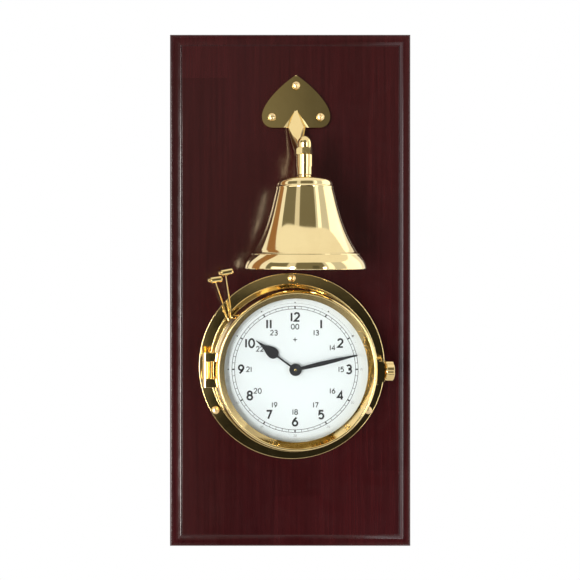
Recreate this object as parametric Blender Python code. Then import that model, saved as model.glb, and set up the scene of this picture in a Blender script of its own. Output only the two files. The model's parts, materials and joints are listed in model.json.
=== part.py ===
"""A ship's bell clock and its bell on a mahogany wall board, as an assembly of separate pieces.

Frame: the origin is the centre of the board's back face, +X is right, +Z is up, and the front
of the object faces -Y. Sizes are millimetres, given as (right, out, up): "out" is the distance in
front of the wall, so it runs along -Y. The helpers turn them into metres.
Every group of pieces is parented to an empty on its own axis, and its sizes start from there.
"""

import math

import bmesh
import bpy
from mathutils import Matrix, Vector

MM = 0.001
GAP = 0.3                      # clearance between pieces that touch
THROUGH = 1.0                  # how far a cutter reaches past the face it opens
SMOOTH_BELOW = math.radians(32)

# Board
BOARD_WIDTH, BOARD_HEIGHT, BOARD_FRONT = 237.0, 504.0, 20.0
EDGE_RADIUS, EDGE_OUT = 2.0, 17.6                 # rounded outer edge of the moulding
COVE_RADIUS, COVE_INSET, COVE_OUT = 12.0, 6.1, 16.9  # the hollow behind it, at its lowest
COVE_ANGLES = (-110.0, -66.0)
QUIRK_INSETS, QUIRK_OUT = (11.3, 11.5), 17.3      # groove between the hollow and the field
FIELD_INSET = 12.3
CASTING_BACK = BOARD_FRONT + GAP

# Clock case and dial
CLOCK_RIGHT, CLOCK_UP = 0.6, -73.7
FLANGE_RADIUS, FLANGE_FRONT = 90.75, 24.0
DRUM_RADIUS, DRUM_NECK, DRUM_RIM = 80.0, 78.0, 50.2  # the drum narrows from its flange to its rim
DRUM_BORE, DRUM_INSIDE = 75.8, 76.2
LEDGE_RADIUS, LEDGE_FRONT, LEDGE_BACK = 70.0, 46.7, 44.2
FLANGE_SCREW_CIRCLE = 86.0
SCREW_ANGLES = {"top": 90.0, "left": 210.0, "right": 330.0}
DIAL_BACK, DIAL_FRONT, DIAL_RADIUS = 47.0, 48.0, 75.5
DIAL_SCREW_CIRCLE = 72.7
NOTCH_ANGLES = (132.5, 146.0)  # the part of the drum wall that the hammer rods pass
NOTCH_BACK = 34.3

# Bezel door
BEZEL_RADIUS, BEZEL_BACK, BEZEL_CREST = 77.6, 50.5, 63.0
GLASS_OPENING, GLASS_RADIUS, GLASS_SEAT = 67.5, 71.5, 55.9
GLASS_BACK, GLASS_THICKNESS = 53.6, 2.0
DOOR_AXIS_RIGHT, DOOR_AXIS_OUT = -84.7, 52.0      # from the clock's centre, and from the wall
KNUCKLE_RADIUS, KNUCKLE_HALF, LUG_TOP = 3.3, 7.8, 16.3
PIN_RADIUS = 1.2
LATCH_OUT, LATCH_UP, LATCH_HALF = 49.5, -1.1, 9.0
TAB_INNER, TAB_OUTER = 79.0, 82.6
TAB_ROOT, LEG_BACK, TAB_FRONT = 73.2, 41.0, 59.0
KNOB_RADIUS, KNOB_LENGTH, KNOB_FLUTES = 9.3, 8.6, 6

# Hands and motion work
HOUR_ANGLE, MINUTE_ANGLE = 306.4, 76.7            # clockwise from twelve
HOUR_LENGTH, MINUTE_LENGTH = 46.5, 60.5
HUB_DISC_RADIUS = 5.9
MODULE_MINUTE = 0.35
MOTION_AXIS_UP = MODULE_MINUTE * (12 + 36) / 2
MODULE_HOUR = 2 * MOTION_AXIS_UP / (10 + 40)
MINUTE_LAYER, HOUR_LAYER = (41.2, 42.6), (43.4, 44.8)
MOVEMENT_HALF, MOVEMENT_BACK, MOVEMENT_FRONT = 28.0, 30.3, 46.7

# Bell and bracket
BELL_RIGHT, BELL_OUT = 4.7, 81.5
BELL_MOUTH, BELL_TOP = 22.3, 105.0
BELL_WALL = 2.8
BOLT_RADIUS = 4.0
BOSS_BOTTOM, BOSS_STEP, BOSS_TOP = 107.9, 115.0, 125.9
BOSS_RADIUS, BOSS_LENGTH = 7.2, 11.0              # an oval that reaches back to the arm
DOME_RADIUS = 6.3
PLATE_FRONT = 24.3
BRACKET_SCREWS = {"top": (0.0, 200.3), "left": (-23.7, 169.5), "right": (23.7, 169.5)}

# Hammers, from the arbor
ARBOR_RIGHT, ARBOR_UP = -54.5, 24.0               # from the clock's centre
ARBOR_RADIUS, HUB_RADIUS = 1.5, 4.5
ROD_RADIUS, ROD_BEND = 0.95, 28.0
HEAD_RADIUS = 2.8
HAMMERS = {
    # angle of the rod, its length, where it leaves the hub, where its head is, tail length
    "left": {"angle": 110.0, "reach": 65.8, "hub": (33.5, 38.5), "head_out": 70.0,
             "tilt": 8.7, "tail": 9.0},
    "right": {"angle": 100.9, "reach": 70.1, "hub": (39.0, 44.0), "head_out": 80.0,
              "tilt": 10.4, "tail": 20.0},
}
SOLENOID_OUT = 33.75
COIL_RADIUS, PLUNGER_RADIUS = 5.0, 2.5

# Colours (linear), roughness, metallic
FINISHES = {
    "mahogany": ((0.055, 0.014, 0.012), 0.25, 0.0),
    "polished_brass": ((0.78, 0.53, 0.22), 0.12, 1.0),
    "plain_brass": ((0.62, 0.44, 0.20), 0.35, 1.0),
    "steel": ((0.45, 0.45, 0.46), 0.35, 1.0),
    "white_enamel": ((0.82, 0.85, 0.87), 0.40, 0.0),
    "black_enamel": ((0.012, 0.012, 0.014), 0.30, 0.0),
    "glass": ((0.95, 0.97, 0.97), 0.03, 0.0),
    "black_plastic": ((0.02, 0.02, 0.02), 0.45, 0.0),
    "white_plastic": ((0.70, 0.70, 0.66), 0.45, 0.0),
    "copper": ((0.60, 0.26, 0.12), 0.40, 1.0),
    "circuit_green": ((0.02, 0.16, 0.06), 0.50, 0.0),
    "cell_wrap": ((0.05, 0.07, 0.14), 0.35, 0.2),
}


# ---------------------------------------------------------------------------------------------
# Helpers
# ---------------------------------------------------------------------------------------------

def clear_scene():
    for item in list(bpy.data.objects):
        bpy.data.objects.remove(item, do_unlink=True)


def at(right, out, up):
    """A point of the frame, in metres."""
    return Vector((right * MM, -out * MM, up * MM))


def finish_material(name):
    material = bpy.data.materials.get(name)
    if material is None:
        colour, roughness, metallic = FINISHES[name]
        material = bpy.data.materials.new(name)
        material.use_nodes = True
        shader = material.node_tree.nodes["Principled BSDF"]
        shader.inputs["Base Color"].default_value = (*colour, 1.0)
        shader.inputs["Roughness"].default_value = roughness
        shader.inputs["Metallic"].default_value = metallic
    return material


def axis_empty(name, right=0.0, out=0.0, up=0.0):
    """An empty on one of the object's axes, for the pieces that sit or turn on it."""
    empty = bpy.data.objects.new(name, None)
    empty.location = at(right, out, up)
    bpy.context.scene.collection.objects.link(empty)
    return empty


def add_object(name, shape, finish, parent):
    """Close a bmesh into a named, smooth-shaded object under its axis."""
    bmesh.ops.recalc_face_normals(shape, faces=shape.faces)
    mesh = bpy.data.meshes.new(name)
    shape.to_mesh(mesh)
    shape.free()
    mesh.materials.append(finish_material(finish))
    mesh.shade_smooth()
    mesh.set_sharp_from_angle(angle=SMOOTH_BELOW)
    item = bpy.data.objects.new(name, mesh)
    item.parent = parent
    bpy.context.scene.collection.objects.link(item)
    return item


TURNED = {
    "out": lambda radius, angle, along: at(radius * math.cos(angle), along, radius * math.sin(angle)),
    "up": lambda radius, angle, along: at(radius * math.cos(angle), radius * math.sin(angle), along),
    "right": lambda radius, angle, along: at(along, radius * math.cos(angle), radius * math.sin(angle)),
}
DRAWN = {
    "out": lambda first, second, along: at(first, along, second),
    "up": lambda first, second, along: at(first, second, along),
    "right": lambda first, second, along: at(along, first, second),
}


def skin(shape, rings, closed):
    """Faces between neighbouring rings of vertices; a ring on the axis repeats one vertex."""
    following = rings[1:] + rings[:1] if closed else rings[1:]
    for ring, beyond in zip(rings, following):
        for index in range(len(ring)):
            after = (index + 1) % len(ring)
            corners = list(dict.fromkeys([ring[index], ring[after], beyond[after], beyond[index]]))
            if len(corners) > 2:
                shape.faces.new(corners)


def turned(name, profile, finish, parent, axis="out", sides=24, centre=(0.0, 0.0)):
    """A solid of revolution; profile is its half section as (radius, along) pairs."""
    shape = bmesh.new()
    across = DRAWN[axis](centre[0], centre[1], 0.0)
    rings = []
    for radius, along in profile:
        if radius == 0:
            rings.append([shape.verts.new(TURNED[axis](0.0, 0.0, along) + across)] * sides)
        else:
            angles = [math.tau * index / sides for index in range(sides)]
            rings.append([shape.verts.new(TURNED[axis](radius, angle, along) + across) for angle in angles])
    skin(shape, rings, closed=True)
    return add_object(name, shape, finish, parent)


def rod(name, radius, low, high, finish, parent, axis="out", sides=16, centre=(0.0, 0.0)):
    """A plain cylinder from low to high along an axis."""
    profile = [(0, low), (radius, low), (radius, high), (0, high)]
    return turned(name, profile, finish, parent, axis, sides, centre)


def ring(name, inner, outer, low, high, finish, parent, axis="out", sides=24, centre=(0.0, 0.0)):
    profile = [(inner, low), (outer, low), (outer, high), (inner, high)]
    return turned(name, profile, finish, parent, axis, sides, centre)


def drawn(name, outline, low, high, finish, parent, axis="out"):
    """A flat outline, drawn square to an axis and extruded along it from low to high."""
    shape = bmesh.new()
    ends = [[shape.verts.new(DRAWN[axis](first, second, along)) for first, second in outline]
            for along in (low, high)]
    for end in ends:
        shape.faces.new(end)
    skin(shape, ends, closed=False)
    return add_object(name, shape, finish, parent)


def block(name, rights, outs, ups, finish, parent):
    outline = [(rights[0], ups[0]), (rights[1], ups[0]), (rights[1], ups[1]), (rights[0], ups[1])]
    return drawn(name, outline, outs[0], outs[1], finish, parent)


def wire(name, points, radius, finish, parent, smoothness=2):
    """A round wire through points, with closed ends."""
    curve = bpy.data.curves.new(name, "CURVE")
    curve.dimensions = "3D"
    curve.bevel_depth = radius * MM
    curve.bevel_resolution = smoothness
    curve.use_fill_caps = True
    spline = curve.splines.new("POLY")
    spline.points.add(len(points) - 1)
    for slot, point in zip(spline.points, points):
        slot.co = (*at(*point), 1.0)
    curve.materials.append(finish_material(finish))
    item = bpy.data.objects.new(name, curve)
    item.parent = parent
    bpy.context.scene.collection.objects.link(item)
    return item


def combine(target, tools, operation):
    """Apply exact Booleans of the tools to the target, and discard the tools."""
    for tool in tools:
        modifier = target.modifiers.new(operation.lower(), "BOOLEAN")
        modifier.operation = operation
        modifier.solver = "EXACT"
        modifier.object = tool
    bpy.context.view_layer.update()
    evaluated = target.evaluated_get(bpy.context.evaluated_depsgraph_get())
    mesh = bpy.data.meshes.new_from_object(evaluated)
    target.modifiers.clear()
    target.data = mesh
    mesh.set_sharp_from_angle(angle=SMOOTH_BELOW)
    for tool in tools:
        bpy.data.objects.remove(tool, do_unlink=True)
    return target


def carve(target, *tools):
    return combine(target, tools, "DIFFERENCE")


def join(target, *tools):
    return combine(target, tools, "UNION")


def polar(radius, degrees):
    angle = math.radians(degrees)
    return radius * math.cos(angle), radius * math.sin(angle)


def bezier(start, first, second, end, steps):
    """Points along a cubic curve, without its last one."""
    points = []
    for index in range(steps):
        t = index / steps
        weights = ((1 - t) ** 3, 3 * t * (1 - t) ** 2, 3 * t * t * (1 - t), t ** 3)
        points.append(tuple(sum(weight * value for weight, value in zip(weights, values))
                            for values in zip(start, first, second, end)))
    return points


def hull_outline(centres, radius, steps=24):
    """The outline of a plate stretched round equal circles."""
    outline = []
    for index in range(steps):
        right, up = polar(1.0, 360.0 * index / steps)
        centre = max(centres, key=lambda point: point[0] * right + point[1] * up)
        point = (round(centre[0] + radius * right, 6), round(centre[1] + radius * up, 6))
        if point not in outline:
            outline.append(point)
    return outline


def hexagon(across_flats, turn=0.0):
    return [polar(across_flats / math.sqrt(3), 60.0 * index + turn) for index in range(6)]


# ---------------------------------------------------------------------------------------------
# Fasteners
# ---------------------------------------------------------------------------------------------

SCREW_HEAD_RADIUS, SCREW_SHANK_RADIUS = 3.75, 1.7


def wood_screw(name, parent, right, up, seat, point, turn, finish="polished_brass"):
    """A slotted round-head screw whose head sits at seat, with its point nearer the wall."""
    head = SCREW_HEAD_RADIUS
    dome = [(head * math.cos(math.radians(step)), seat + 0.5 + 2.1 * math.sin(math.radians(step)))
            for step in (0, 32, 64)]
    profile = [(0, point), (SCREW_SHANK_RADIUS, point + 3), (SCREW_SHANK_RADIUS, seat), (head, seat),
               *dome, (0, seat + 2.6)]
    screw = turned(name, profile, finish, parent, sides=12)
    slot = block("slot", (-head - 1, head + 1), (seat + 1.5, seat + 4), (-0.45, 0.45), finish, parent)
    carve(screw, slot)
    screw.data.transform(Matrix.Rotation(math.radians(turn), 4, "Y"))
    screw.location = at(right, 0, up)
    return screw


def screw_hole(parent, right, up, low, high, radius=SCREW_SHANK_RADIUS + GAP):
    return rod("hole", radius, low, high, "steel", parent, sides=14, centre=(right, up))


# ---------------------------------------------------------------------------------------------
# Board and hanger
# ---------------------------------------------------------------------------------------------

HANGER_UP = 215.0
HANGER_HALF_WIDTH, HANGER_HALF_HEIGHT = 8.0, 24.0
POCKET_DEPTH = 2.3


def moulding_levels():
    """The board's edge, from its back to its field, as (inset from the side, out)."""
    levels = [(0.0, 0.0)]
    for step in (0, 30, 60, 90):
        across, rise = polar(EDGE_RADIUS, step)
        levels.append((EDGE_RADIUS - across, EDGE_OUT - EDGE_RADIUS + rise))
    first, last = COVE_ANGLES
    for index in range(1, 6):
        across, rise = polar(COVE_RADIUS, first + (last - first) * index / 5)
        levels.append((COVE_INSET + across, COVE_OUT + COVE_RADIUS + rise))
    levels += [(inset, QUIRK_OUT) for inset in QUIRK_INSETS]
    levels.append((FIELD_INSET, BOARD_FRONT))
    return levels


def make_board(root, clock, bell):
    shape = bmesh.new()
    loops = []
    for inset, out in moulding_levels():
        half_width = BOARD_WIDTH / 2 - inset
        half_height = BOARD_HEIGHT / 2 - inset
        corners = [(-half_width, -half_height), (half_width, -half_height),
                   (half_width, half_height), (-half_width, half_height)]
        loops.append([shape.verts.new(at(right, out, up)) for right, up in corners])
    skin(shape, loops, closed=False)
    shape.faces.new(loops[0])
    shape.faces.new(loops[-1])
    board = add_object("backboard", shape, "mahogany", root)

    cutters = [block("pocket", (-HANGER_HALF_WIDTH - GAP, HANGER_HALF_WIDTH + GAP), (-THROUGH, POCKET_DEPTH),
                     (HANGER_UP - HANGER_HALF_HEIGHT - GAP, HANGER_UP + HANGER_HALF_HEIGHT + GAP),
                     "mahogany", root),
               block("nail_room", (-5.5, 5.5), (0.5, 11.0), (HANGER_UP - 12.5, HANGER_UP + 9.5),
                     "mahogany", root)]
    for side in (-1, 1):
        cutters.append(screw_hole(root, 0, HANGER_UP + side * 18.5, 0.5, 14.0))
    for degrees in SCREW_ANGLES.values():
        cutters.append(screw_hole(clock, *polar(FLANGE_SCREW_CIRCLE, degrees), 5.0, 22.0))
    for right, up in STRIKE_SCREWS:
        cutters.append(screw_hole(clock, right, up, 8.0, 22.0))
    for right, up in BRACKET_SCREWS.values():
        cutters.append(screw_hole(bell, right, up, 5.0, 22.0))
    carve(board, *cutters)


def make_hanger(root):
    """A keyhole plate let into the back: the nail's head goes in below and rides up the slot."""
    plate = block("hanger_plate", (-HANGER_HALF_WIDTH, HANGER_HALF_WIDTH), (0.5, 2.0),
                  (HANGER_UP - HANGER_HALF_HEIGHT, HANGER_UP + HANGER_HALF_HEIGHT), "steel", root)
    carve(plate,
          rod("eye", 4.8, -1, 3, "steel", root, centre=(0, HANGER_UP - 7.0)),
          block("slot", (-2.3, 2.3), (-1, 3), (HANGER_UP - 7.0, HANGER_UP + 6.0), "steel", root),
          screw_hole(root, 0, HANGER_UP + 18.5, -1, 3),
          screw_hole(root, 0, HANGER_UP - 18.5, -1, 3))
    for label, side in (("upper", 1), ("lower", -1)):
        profile = [(0, 0.0), (3.0, 0.0), (3.0, 0.2), (1.7, 0.2), (1.7, 10.0), (0, 13.0)]
        turned(f"hanger_screw_{label}", profile, "steel", root, sides=12,
               centre=(0, HANGER_UP + side * 18.5))


# ---------------------------------------------------------------------------------------------
# Bell, bracket and bolt
# ---------------------------------------------------------------------------------------------

def bell_outline():
    """The bell's outer half section, crown to lip, as (radius, up)."""
    outline = [(BOLT_RADIUS + GAP, BELL_TOP)]
    outline += bezier((12.0, BELL_TOP), (19.5, BELL_TOP), (24.2, 104.0), (25.0, 99.5), 3)
    outline += bezier((25.0, 99.5), (30.5, 78.0), (33.8, 58.5), (46.9, 39.0), 5)
    outline += bezier((46.9, 39.0), (50.5, 34.0), (55.3, 29.5), (55.3, BELL_MOUTH), 4)
    outline.append((55.3, BELL_MOUTH))
    return outline


def make_bell(bell):
    outer = bell_outline()
    inner = []
    for before, here, after in zip(outer, outer[1:], outer[2:]):
        along = Vector((after[0] - before[0], after[1] - before[1])).normalized()
        inner.append((here[0] + BELL_WALL * along.y, here[1] - BELL_WALL * along.x))
    inner = [(BOLT_RADIUS + GAP, BELL_TOP - BELL_WALL), *inner, (53.2, BELL_MOUTH)]
    turned("bell", outer + inner[::-1], "polished_brass", bell, axis="up", sides=40)

    head_top = BELL_TOP - BELL_WALL - GAP
    bolt_end = 137.0
    bolt = [(0, head_top - 6.5), (6.2, head_top - 6.5), (7.4, head_top - 5.4), (7.4, head_top - 1.5),
            (9.5, head_top - 1.5), (9.5, head_top), (BOLT_RADIUS, head_top), (BOLT_RADIUS, bolt_end),
            (0, bolt_end)]
    turned("bell_bolt", bolt, "polished_brass", bell, axis="up", sides=16)
    ring("bell_collar", BOLT_RADIUS + GAP, 6.2, BELL_TOP + GAP, BOSS_BOTTOM - GAP, "polished_brass", bell,
         axis="up")

    seat = BOSS_TOP + GAP
    nut = drawn("dome_nut", hexagon(12.8, turn=52.5), seat, 132.6, "polished_brass", bell, axis="up")
    dome = [(0, 132.0), (DOME_RADIUS, 132.0), (DOME_RADIUS, 136.0)]
    dome += [(DOME_RADIUS * math.cos(math.radians(step)), 136.0 + 7.4 * math.sin(math.radians(step)))
             for step in (20, 40, 60, 78)]
    dome.append((0, 143.4))
    join(nut, turned("dome", dome, "polished_brass", bell, axis="up"))
    carve(nut, rod("thread", BOLT_RADIUS + GAP, seat - THROUGH, bolt_end + 0.8, "polished_brass", bell,
                   axis="up"))


def spade_outline():
    half = bezier((0.0, 210.7), (12.0, 203.0), (33.0, 184.0), (33.3, 170.5), 8)
    half += bezier((33.3, 170.5), (33.3, 164.0), (29.5, 159.2), (22.0, 159.2), 5)
    half.append((22.0, 159.2))
    return half + [(-right, up) for right, up in half[:0:-1]]


def make_bracket(bell):
    """The casting: a spade plate, an arm that sweeps down and forward, and the boss over the bell."""
    bracket = drawn("bell_bracket", spade_outline(), CASTING_BACK - BELL_OUT, PLATE_FRONT - BELL_OUT,
                    "polished_brass", bell)
    path_end = (74.0, 117.5)
    path = bezier((22.6, 172.0), (29.0, 152.0), (50.0, 122.0), path_end, 12)
    path.append(path_end)
    shape = bmesh.new()
    rings = []
    for index, (out, up) in enumerate(path):
        before = path[max(index - 1, 0)]
        after = path[min(index + 1, len(path) - 1)]
        along = Vector((after[0] - before[0], after[1] - before[1])).normalized()
        share = index / (len(path) - 1)
        half_width = 8.5 - 3.0 * min(share * 2.5, 1.0)
        half_depth = 2.2 + 3.3 * min(share * 3.0, 1.0)
        section = []
        for step in range(12):
            right, lift = polar(1.0, 30.0 * step)
            section.append(shape.verts.new(at(half_width * right,
                                              out - along.y * half_depth * lift - BELL_OUT,
                                              up + along.x * half_depth * lift)))
        rings.append(section)
    skin(shape, rings, closed=False)
    shape.faces.new(rings[0])
    shape.faces.new(rings[-1])
    arm = add_object("arm", shape, "polished_brass", bell)
    ends = ((0.0, 0.0), (0.0, -BOSS_LENGTH))
    upper = drawn("boss", hull_outline(ends, BOSS_RADIUS), BOSS_STEP, BOSS_TOP, "polished_brass", bell,
                  axis="up")
    lower = drawn("boss", hull_outline(ends, BOSS_RADIUS - 0.5), BOSS_BOTTOM, BOSS_STEP + 0.5,
                  "polished_brass", bell, axis="up")
    join(bracket, arm, upper, lower)
    behind = block("behind", (-40, 40), (CASTING_BACK - BELL_OUT - 20, CASTING_BACK - BELL_OUT), (140, 220),
                   "polished_brass", bell)
    holes = [screw_hole(bell, right, up, CASTING_BACK - BELL_OUT - THROUGH, PLATE_FRONT - BELL_OUT + THROUGH)
             for right, up in BRACKET_SCREWS.values()]
    carve(bracket, behind, *holes,
          rod("bore", BOLT_RADIUS + GAP, BOSS_BOTTOM - THROUGH, BOSS_TOP + THROUGH, "polished_brass", bell,
              axis="up"))


# ---------------------------------------------------------------------------------------------
# Clock case and its door
# ---------------------------------------------------------------------------------------------

def make_case(clock, door):
    profile = [(74.5, CASTING_BACK), (FLANGE_RADIUS, CASTING_BACK), (FLANGE_RADIUS, FLANGE_FRONT - 0.6),
               (FLANGE_RADIUS - 0.6, FLANGE_FRONT), (DRUM_RADIUS, FLANGE_FRONT), (DRUM_NECK, DRUM_RIM),
               (DRUM_BORE, DRUM_RIM), (DRUM_BORE, LEDGE_FRONT), (LEDGE_RADIUS, LEDGE_FRONT),
               (LEDGE_RADIUS, LEDGE_BACK), (DRUM_INSIDE, LEDGE_BACK), (DRUM_INSIDE, 23.0)]
    case = turned("clock_case", profile, "polished_brass", clock, sides=60)
    first, last = NOTCH_ANGLES
    steps = [first + (last - first) * index / 4 for index in range(5)]
    notch = [polar(68.0, first), *[polar(84.0, step) for step in steps], polar(68.0, last)]
    cutters = [drawn("notch", notch, NOTCH_BACK, DRUM_RIM + THROUGH, "polished_brass", clock)]
    for degrees in SCREW_ANGLES.values():
        cutters.append(screw_hole(clock, *polar(FLANGE_SCREW_CIRCLE, degrees), CASTING_BACK - THROUGH,
                                  FLANGE_FRONT + THROUGH))
        cutters.append(screw_hole(clock, *polar(DIAL_SCREW_CIRCLE, degrees), LEDGE_BACK - THROUGH,
                                  LEDGE_FRONT + THROUGH, radius=1.0 + GAP))
    carve(case, *cutters)
    for label, degrees in SCREW_ANGLES.items():
        wood_screw(f"flange_screw_{label}", clock, *polar(FLANGE_SCREW_CIRCLE, degrees),
                   FLANGE_FRONT + GAP, 6.0, turn=degrees + 35)

    inner_face = -DRUM_RADIUS + 0.7 - DOOR_AXIS_RIGHT
    block_back = -14.0
    knuckle = [polar(KNUCKLE_RADIUS, 15.0 * step) for step in range(13)]
    outline = [(inner_face, block_back), (inner_face, -0.2), *knuckle, (-KNUCKLE_RADIUS, block_back)]
    hinge = drawn("hinge_block", outline, -KNUCKLE_HALF, KNUCKLE_HALF, "polished_brass", door, axis="up")
    carve(hinge, rod("bore", PIN_RADIUS + GAP, -20, 20, "polished_brass", door, axis="up", sides=12))
    rod("hinge_pin", PIN_RADIUS, -LUG_TOP - 0.4, LUG_TOP + 0.4, "polished_brass", door, axis="up", sides=12)


def make_door(door):
    """The glazed ring with its two hinge lugs and its latch tab, built from the hinge's axis."""
    centre = (-DOOR_AXIS_RIGHT, 0.0)

    def from_axis(out):
        return out - DOOR_AXIS_OUT

    seat_bore = GLASS_RADIUS + 0.4
    profile = [(seat_bore, BEZEL_BACK), (BEZEL_RADIUS, BEZEL_BACK), (75.9, 58.5), (75.3, 60.8),
               (74.4, 62.3), (73.3, BEZEL_CREST), (72.4, 62.6),
               (GLASS_OPENING, 56.4), (GLASS_OPENING, GLASS_SEAT), (seat_bore, GLASS_SEAT)]
    bezel = turned("bezel_door", [(radius, from_axis(out)) for radius, out in profile], "polished_brass", door,
                   sides=60, centre=centre)

    lug_back = from_axis(BEZEL_BACK) + 0.2
    last_angle = 360.0 + math.degrees(math.asin(lug_back / KNUCKLE_RADIUS))
    lug = [polar(KNUCKLE_RADIUS, 90.0 + (last_angle - 90.0) * step / 14) for step in range(15)]
    lug += [(12.0, lug_back), (12.0, KNUCKLE_RADIUS)]
    additions = []
    for side in (-1, 1):
        low, high = sorted((side * (KNUCKLE_HALF + 0.5), side * LUG_TOP))
        additions.append(drawn("lug", lug, low, high, "polished_brass", door, axis="up"))
    tab_back = BEZEL_BACK + 0.2
    tab = [(TAB_ROOT, tab_back), (TAB_INNER, tab_back), (TAB_INNER, LEG_BACK), (TAB_OUTER, LEG_BACK),
           (TAB_OUTER, TAB_FRONT), (TAB_ROOT, TAB_FRONT)]
    additions.append(drawn("tab", [(right - DOOR_AXIS_RIGHT, from_axis(out)) for right, out in tab],
                           LATCH_UP - LATCH_HALF, LATCH_UP + LATCH_HALF, "polished_brass", door, axis="up"))
    join(bezel, *additions)
    carve(bezel,
          rod("pin_bore", PIN_RADIUS + GAP, -20, 20, "polished_brass", door, axis="up", sides=12),
          rod("latch_bore", 2.4, TAB_INNER - DOOR_AXIS_RIGHT - 1, TAB_OUTER - DOOR_AXIS_RIGHT + 1,
              "polished_brass", door, axis="right", centre=(from_axis(LATCH_OUT), LATCH_UP)))

    glass_back = from_axis(GLASS_BACK)
    rod("door_glass", GLASS_RADIUS, glass_back, glass_back + GLASS_THICKNESS, "glass", door, sides=60,
        centre=centre)
    ring("glass_retainer", 68.6, GLASS_RADIUS, from_axis(51.8), glass_back - GAP, "polished_brass", door,
         sides=60, centre=centre)


def make_thumbscrew(latch):
    outline = []
    steps = KNOB_FLUTES * 8
    for index in range(steps):
        share = (index % 8) / 8
        dip = max(0.0, 1.0 - ((share - 0.5) / 0.19) ** 2)
        outline.append(polar(KNOB_RADIUS - 1.1 * dip, 360.0 * (index - 4) / steps))
    low = TAB_OUTER + 1.2
    knob = drawn("thumbscrew", outline, low, low + KNOB_LENGTH, "polished_brass", latch, axis="right")
    join(knob, rod("shank", 2.1, DRUM_NECK + 0.6, low + 1.0, "polished_brass", latch, axis="right"))
    ring("thumbscrew_washer", 2.4, 5.6, TAB_OUTER + GAP, low - GAP, "polished_brass", latch, axis="right",
         sides=20)


# ---------------------------------------------------------------------------------------------
# Dial, hands and movement
# ---------------------------------------------------------------------------------------------

def make_dial(clock):
    dial = rod("dial", DIAL_RADIUS, DIAL_BACK, DIAL_FRONT, "white_enamel", clock, sides=60)
    holes = [screw_hole(clock, *polar(DIAL_SCREW_CIRCLE, degrees), DIAL_BACK - 1, DIAL_FRONT + 1,
                        radius=1.0 + GAP) for degrees in SCREW_ANGLES.values()]
    carve(dial, rod("centre", 4.0 + GAP, DIAL_BACK - 1, DIAL_FRONT + 1, "steel", clock), *holes)
    for label, degrees in SCREW_ANGLES.items():
        head = DIAL_FRONT + GAP
        profile = [(0, 42.0), (1.0, 42.0), (1.0, head), (2.2, head), (2.0, head + 0.9), (0, head + 1.2)]
        turned(f"dial_screw_{label}", profile, "plain_brass", clock, sides=12,
               centre=polar(DIAL_SCREW_CIRCLE, degrees))
    ring("movement_nut", 4.0 + GAP, 5.2, DIAL_FRONT + GAP, 49.5, "plain_brass", clock)


def clockwise(outline, degrees):
    """Turn an outline that points to twelve to a dial angle."""
    turn = Matrix.Rotation(math.radians(-degrees), 2)
    return [tuple(turn @ Vector(point)) for point in outline]


def mirrored(half):
    """A pointed outline from its right half, tail to tip."""
    return half + [(-right, up) for right, up in half[-2::-1]]


def make_hands(clock):
    spade = [(0.8, 0.0), (0.8, 20.3), (2.2, 21.5)]
    spade += bezier((2.2, 21.5), (7.0, 23.5), (6.2, 29.5), (3.0, 35.5), 6)
    spade += [(2.2, 38.0), (1.1, 42.0), (0.0, HOUR_LENGTH)]
    hour = drawn("hour_hand", clockwise(mirrored(spade), HOUR_ANGLE), 50.0, 50.5, "black_enamel", clock)
    join(hour, rod("boss", 4.4, 50.0, 50.5, "black_enamel", clock))
    carve(hour, rod("bore", 2.5, 49, 52, "steel", clock, sides=16))

    lozenge = [(1.2, 0.0), (1.9, 26.0), (1.5, 40.0), (0.75, 56.0), (0.0, MINUTE_LENGTH)]
    minute = drawn("minute_hand", clockwise(mirrored(lozenge), MINUTE_ANGLE), 51.2, 51.7, "black_enamel", clock)
    join(minute, rod("boss", HUB_DISC_RADIUS, 51.2, 51.7, "black_enamel", clock))
    carve(minute, rod("bore", 1.0 + GAP, 50.9, 52, "steel", clock, sides=12))
    turned("hand_cap", [(0, 52.2), (1.3, 52.2), (1.3, 52.6), (0.8, 53.0), (0, 53.1)], "polished_brass", clock,
           sides=12)


def gear_outline(teeth, module, first_tooth, centre=(0.0, 0.0)):
    """Slim trapezoid teeth with plenty of backlash; first_tooth is the direction of one tooth."""
    pitch_radius = module * teeth / 2
    tip, root = pitch_radius + 0.72 * module, pitch_radius - 1.1 * module
    outline = []
    for tooth in range(teeth):
        middle = first_tooth + 360.0 * tooth / teeth
        for radius, share in ((root, -0.21), (tip, -0.09), (tip, 0.09), (root, 0.21)):
            right, up = polar(radius, middle + share * 360.0 / teeth)
            outline.append((centre[0] + right, centre[1] + up))
    return outline


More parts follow.
